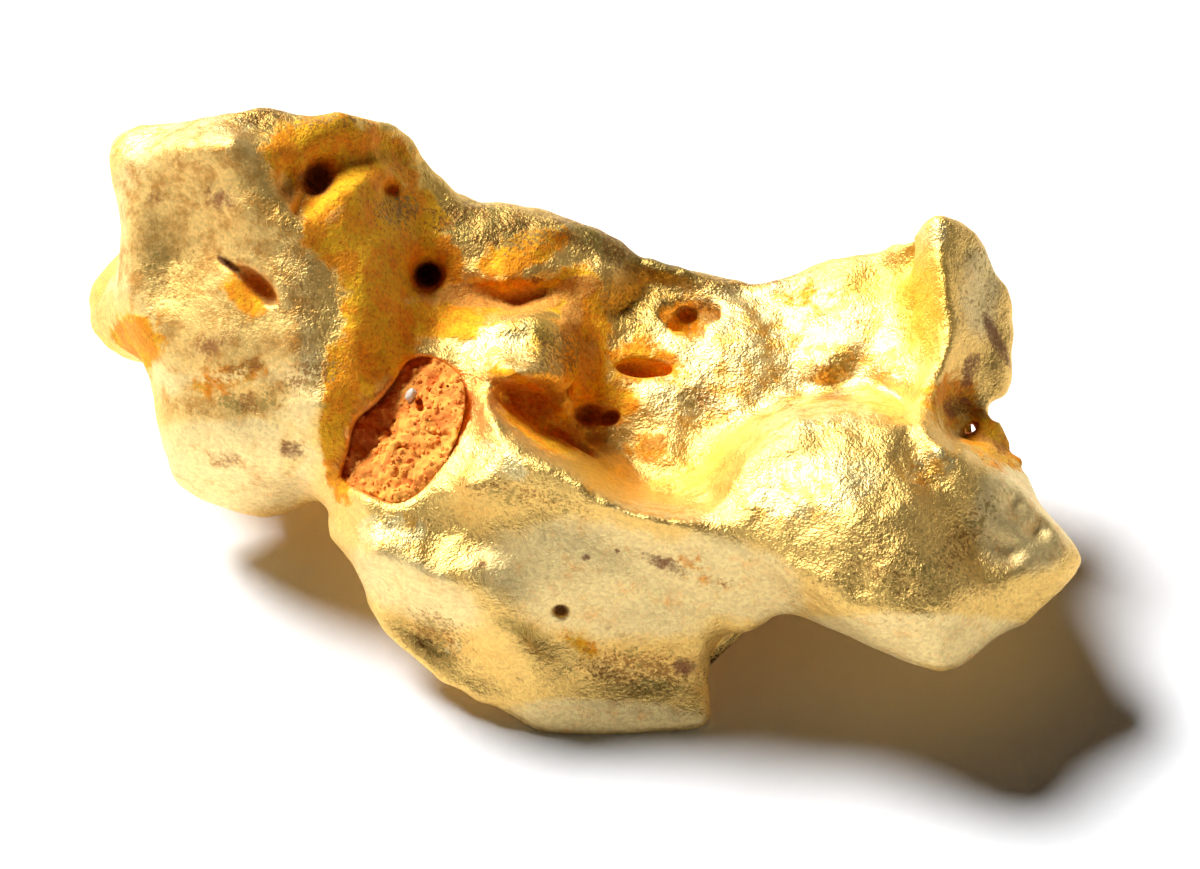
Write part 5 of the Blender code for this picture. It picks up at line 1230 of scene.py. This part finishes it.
OUTWARDS = tuple(lean.to_3x3() @ Vector((0, 0, 1)))
crumbs = scattered("clay_crumbs", clay.data, crumb_material(),
                   Density=CRUMB_DENSITY, Smallest=CRUMB_SIZES[0] * MM, Largest=CRUMB_SIZES[1] * MM,
                   Seed=CRUMB_SEED)
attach(crumbs, "root")
print("crumbs:", len(crumbs.data.polygons), "triangles")

# %% [markdown]
# ## One grain of quartz
# A single pale sand grain is stuck to the clay. It is a small sphere with flat facets pressed into
# it, pulled long, so that it catches the lamp as a broken crystal does.

# %% Quartz grain
GRAIN_AT = (-4.72, 0.98)
GRAIN_RADII = (0.21, 0.14, 0.12)
GRAIN_TURN = 62.0
GRAIN_LIFT = 0.1                     # its middle stands this far above the clay
GRAIN_FACETS = 9
FACET_AT = 0.78                      # share of the radius at which a facet cuts
QUARTZ = ((0.66, 0.55, 0.42), (0.88, 0.80, 0.68))


def quartz_material():
    material, tree, shader = new_material("quartz")
    fill(tree, shader.inputs["Base Color"], mixed(tree, noise(tree, 8.0), *QUARTZ))
    shader.inputs["Roughness"].default_value = 0.35
    shader.inputs["Subsurface Weight"].default_value = 0.3
    shader.inputs["Subsurface Radius"].default_value = (0.2 * MM,) * 3
    return material


def quartz_grain():
    bm = bmesh.new()
    bmesh.ops.create_icosphere(bm, subdivisions=3, radius=1.0)
    rng = np.random.default_rng(SEED)
    for cut in rng.normal(size=(GRAIN_FACETS, 3)):
        normal = Vector(cut).normalized()
        for vertex in bm.verts:
            over = vertex.co.dot(normal) - FACET_AT
            if over > 0:
                vertex.co -= normal * over
    i, j = (int((at - low) / CLAY_VOXEL) for at, low in zip(GRAIN_AT, clay_low))
    place = Matrix.Translation((*GRAIN_AT, float(clay_face[i, j]) + GRAIN_LIFT))
    turn = Matrix.Rotation(math.radians(GRAIN_TURN), 4, "Z")
    bm.transform(place @ turn @ Matrix.Diagonal((*GRAIN_RADII, 1.0)))
    mesh = bpy.data.meshes.new("quartz_grain")
    bm.to_mesh(mesh)
    bm.free()
    mesh.vertices.foreach_set("co", (tipped(coordinates(mesh)) + SHIFT).astype(np.float32).ravel())
    mesh.materials.append(quartz_material())
    return as_object("quartz_grain", mesh)


quartz = quartz_grain()
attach(quartz, "root")
print("quartz grain about", round(2 * GRAIN_RADII[0], 2), "mm long")

# %% [markdown]
# ## Paper, lamp and room
# The nugget lies on a large sheet of white paper. One big soft lamp stands high behind it, to the
# left, so faces that look up and back burn white and a clear shadow falls to the front right. Near
# faces look away from the lamp: they mirror the lit paper, which is why it reaches far in front.
# Windows low round the room brighten what grazes the table, and the ceiling is dark.

# %% Paper
PAPER = 4.0                          # metres across
PAPER_DROP = 0.01 * MM               # keeps it off the worn soles
PAPER_WHITE = (0.93, 0.935, 0.95, 1.0)
FIBRE_DEPTH = 0.12 * MM


def paper_material():
    material, tree, shader = new_material("paper")
    fibre = noise(tree, 1.6, 5.0, 0.7)
    shader.inputs["Base Color"].default_value = PAPER_WHITE
    shader.inputs["Roughness"].default_value = 0.8
    shader.inputs["Specular IOR Level"].default_value = 0.25
    bump = add(tree, "ShaderNodeBump", "Normal", {}, Height=fibre, Distance=FIBRE_DEPTH, Strength=0.25)
    fill(tree, shader.inputs["Normal"], bump)
    return material


bpy.ops.mesh.primitive_plane_add(size=PAPER, location=(0, 0, -PAPER_DROP))
paper = bpy.context.object
paper.name = "paper"
paper.data.materials.append(paper_material())
print("paper", PAPER, "m square")

# %% Lamp and room
LAMP_PLACE = (-0.50, 0.41, 0.764)    # metres
LAMP_WIDTH = 0.46
LAMP_POWER = 20.85                   # watts
WINDOWS = 0.9                        # brightness at table height
CEILING = 0.01
WINDOW_SILL, WINDOW_TOP = 0.04, 0.20     # as the sine of the height over the horizon


def soft_lamp(name, place, width, power):
    light = bpy.data.lights.new(name, "AREA")
    light.shape = "DISK"
    light.size = width
    light.energy = power
    lamp = bpy.data.objects.new(name, light)
    lamp.location = place
    lamp.rotation_euler = Vector(place).to_track_quat("Z", "Y").to_euler()
    bpy.context.scene.collection.objects.link(lamp)


def room():
    """A room lit low down all round, with a dark ceiling."""
    world = bpy.data.worlds.new("room")
    world.use_nodes = True
    tree = world.node_tree
    toward = add(tree, "ShaderNodeTexCoord", "Generated")
    height = add(tree, "ShaderNodeSeparateXYZ", "Z", {}, Vector=toward)
    glow = step(tree, height, WINDOW_SILL, WINDOW_TOP, WINDOWS, CEILING)
    fill(tree, tree.nodes["Background"].inputs["Strength"], glow)
    tree.nodes["Background"].inputs["Color"].default_value = (1.0, 1.0, 1.0, 1.0)
    bpy.context.scene.world = world


soft_lamp("lamp", LAMP_PLACE, LAMP_WIDTH, LAMP_POWER)
room()
print("one lamp,", round(math.dist(LAMP_PLACE, (0, 0, 0)), 2), "m away")

# %% Camera
PICTURE_WIDTH = 30.0                 # what the picture's width covers at the nugget, in millimetres
STAND_OFF = 0.22                     # from the drawing plane, in metres
SENSOR = 36.0                        # millimetres

camera_data = bpy.data.cameras.new("camera")
camera_data.sensor_width = SENSOR
camera_data.lens = SENSOR * STAND_OFF / (PICTURE_WIDTH * MM)
camera_data.clip_start = 0.01
camera_data.clip_end = 5.0
camera = bpy.data.objects.new("camera", camera_data)
drawing_middle = Vector((tipped(np.zeros((1, 3))) + SHIFT)[0])
camera.matrix_world = Matrix.Translation(drawing_middle) @ lean @ Matrix.Translation((0, 0, STAND_OFF))
bpy.context.scene.collection.objects.link(camera)
bpy.context.scene.camera = camera
bpy.context.scene.view_settings.view_transform = "Standard"
print("lens", round(camera_data.lens), "mm")
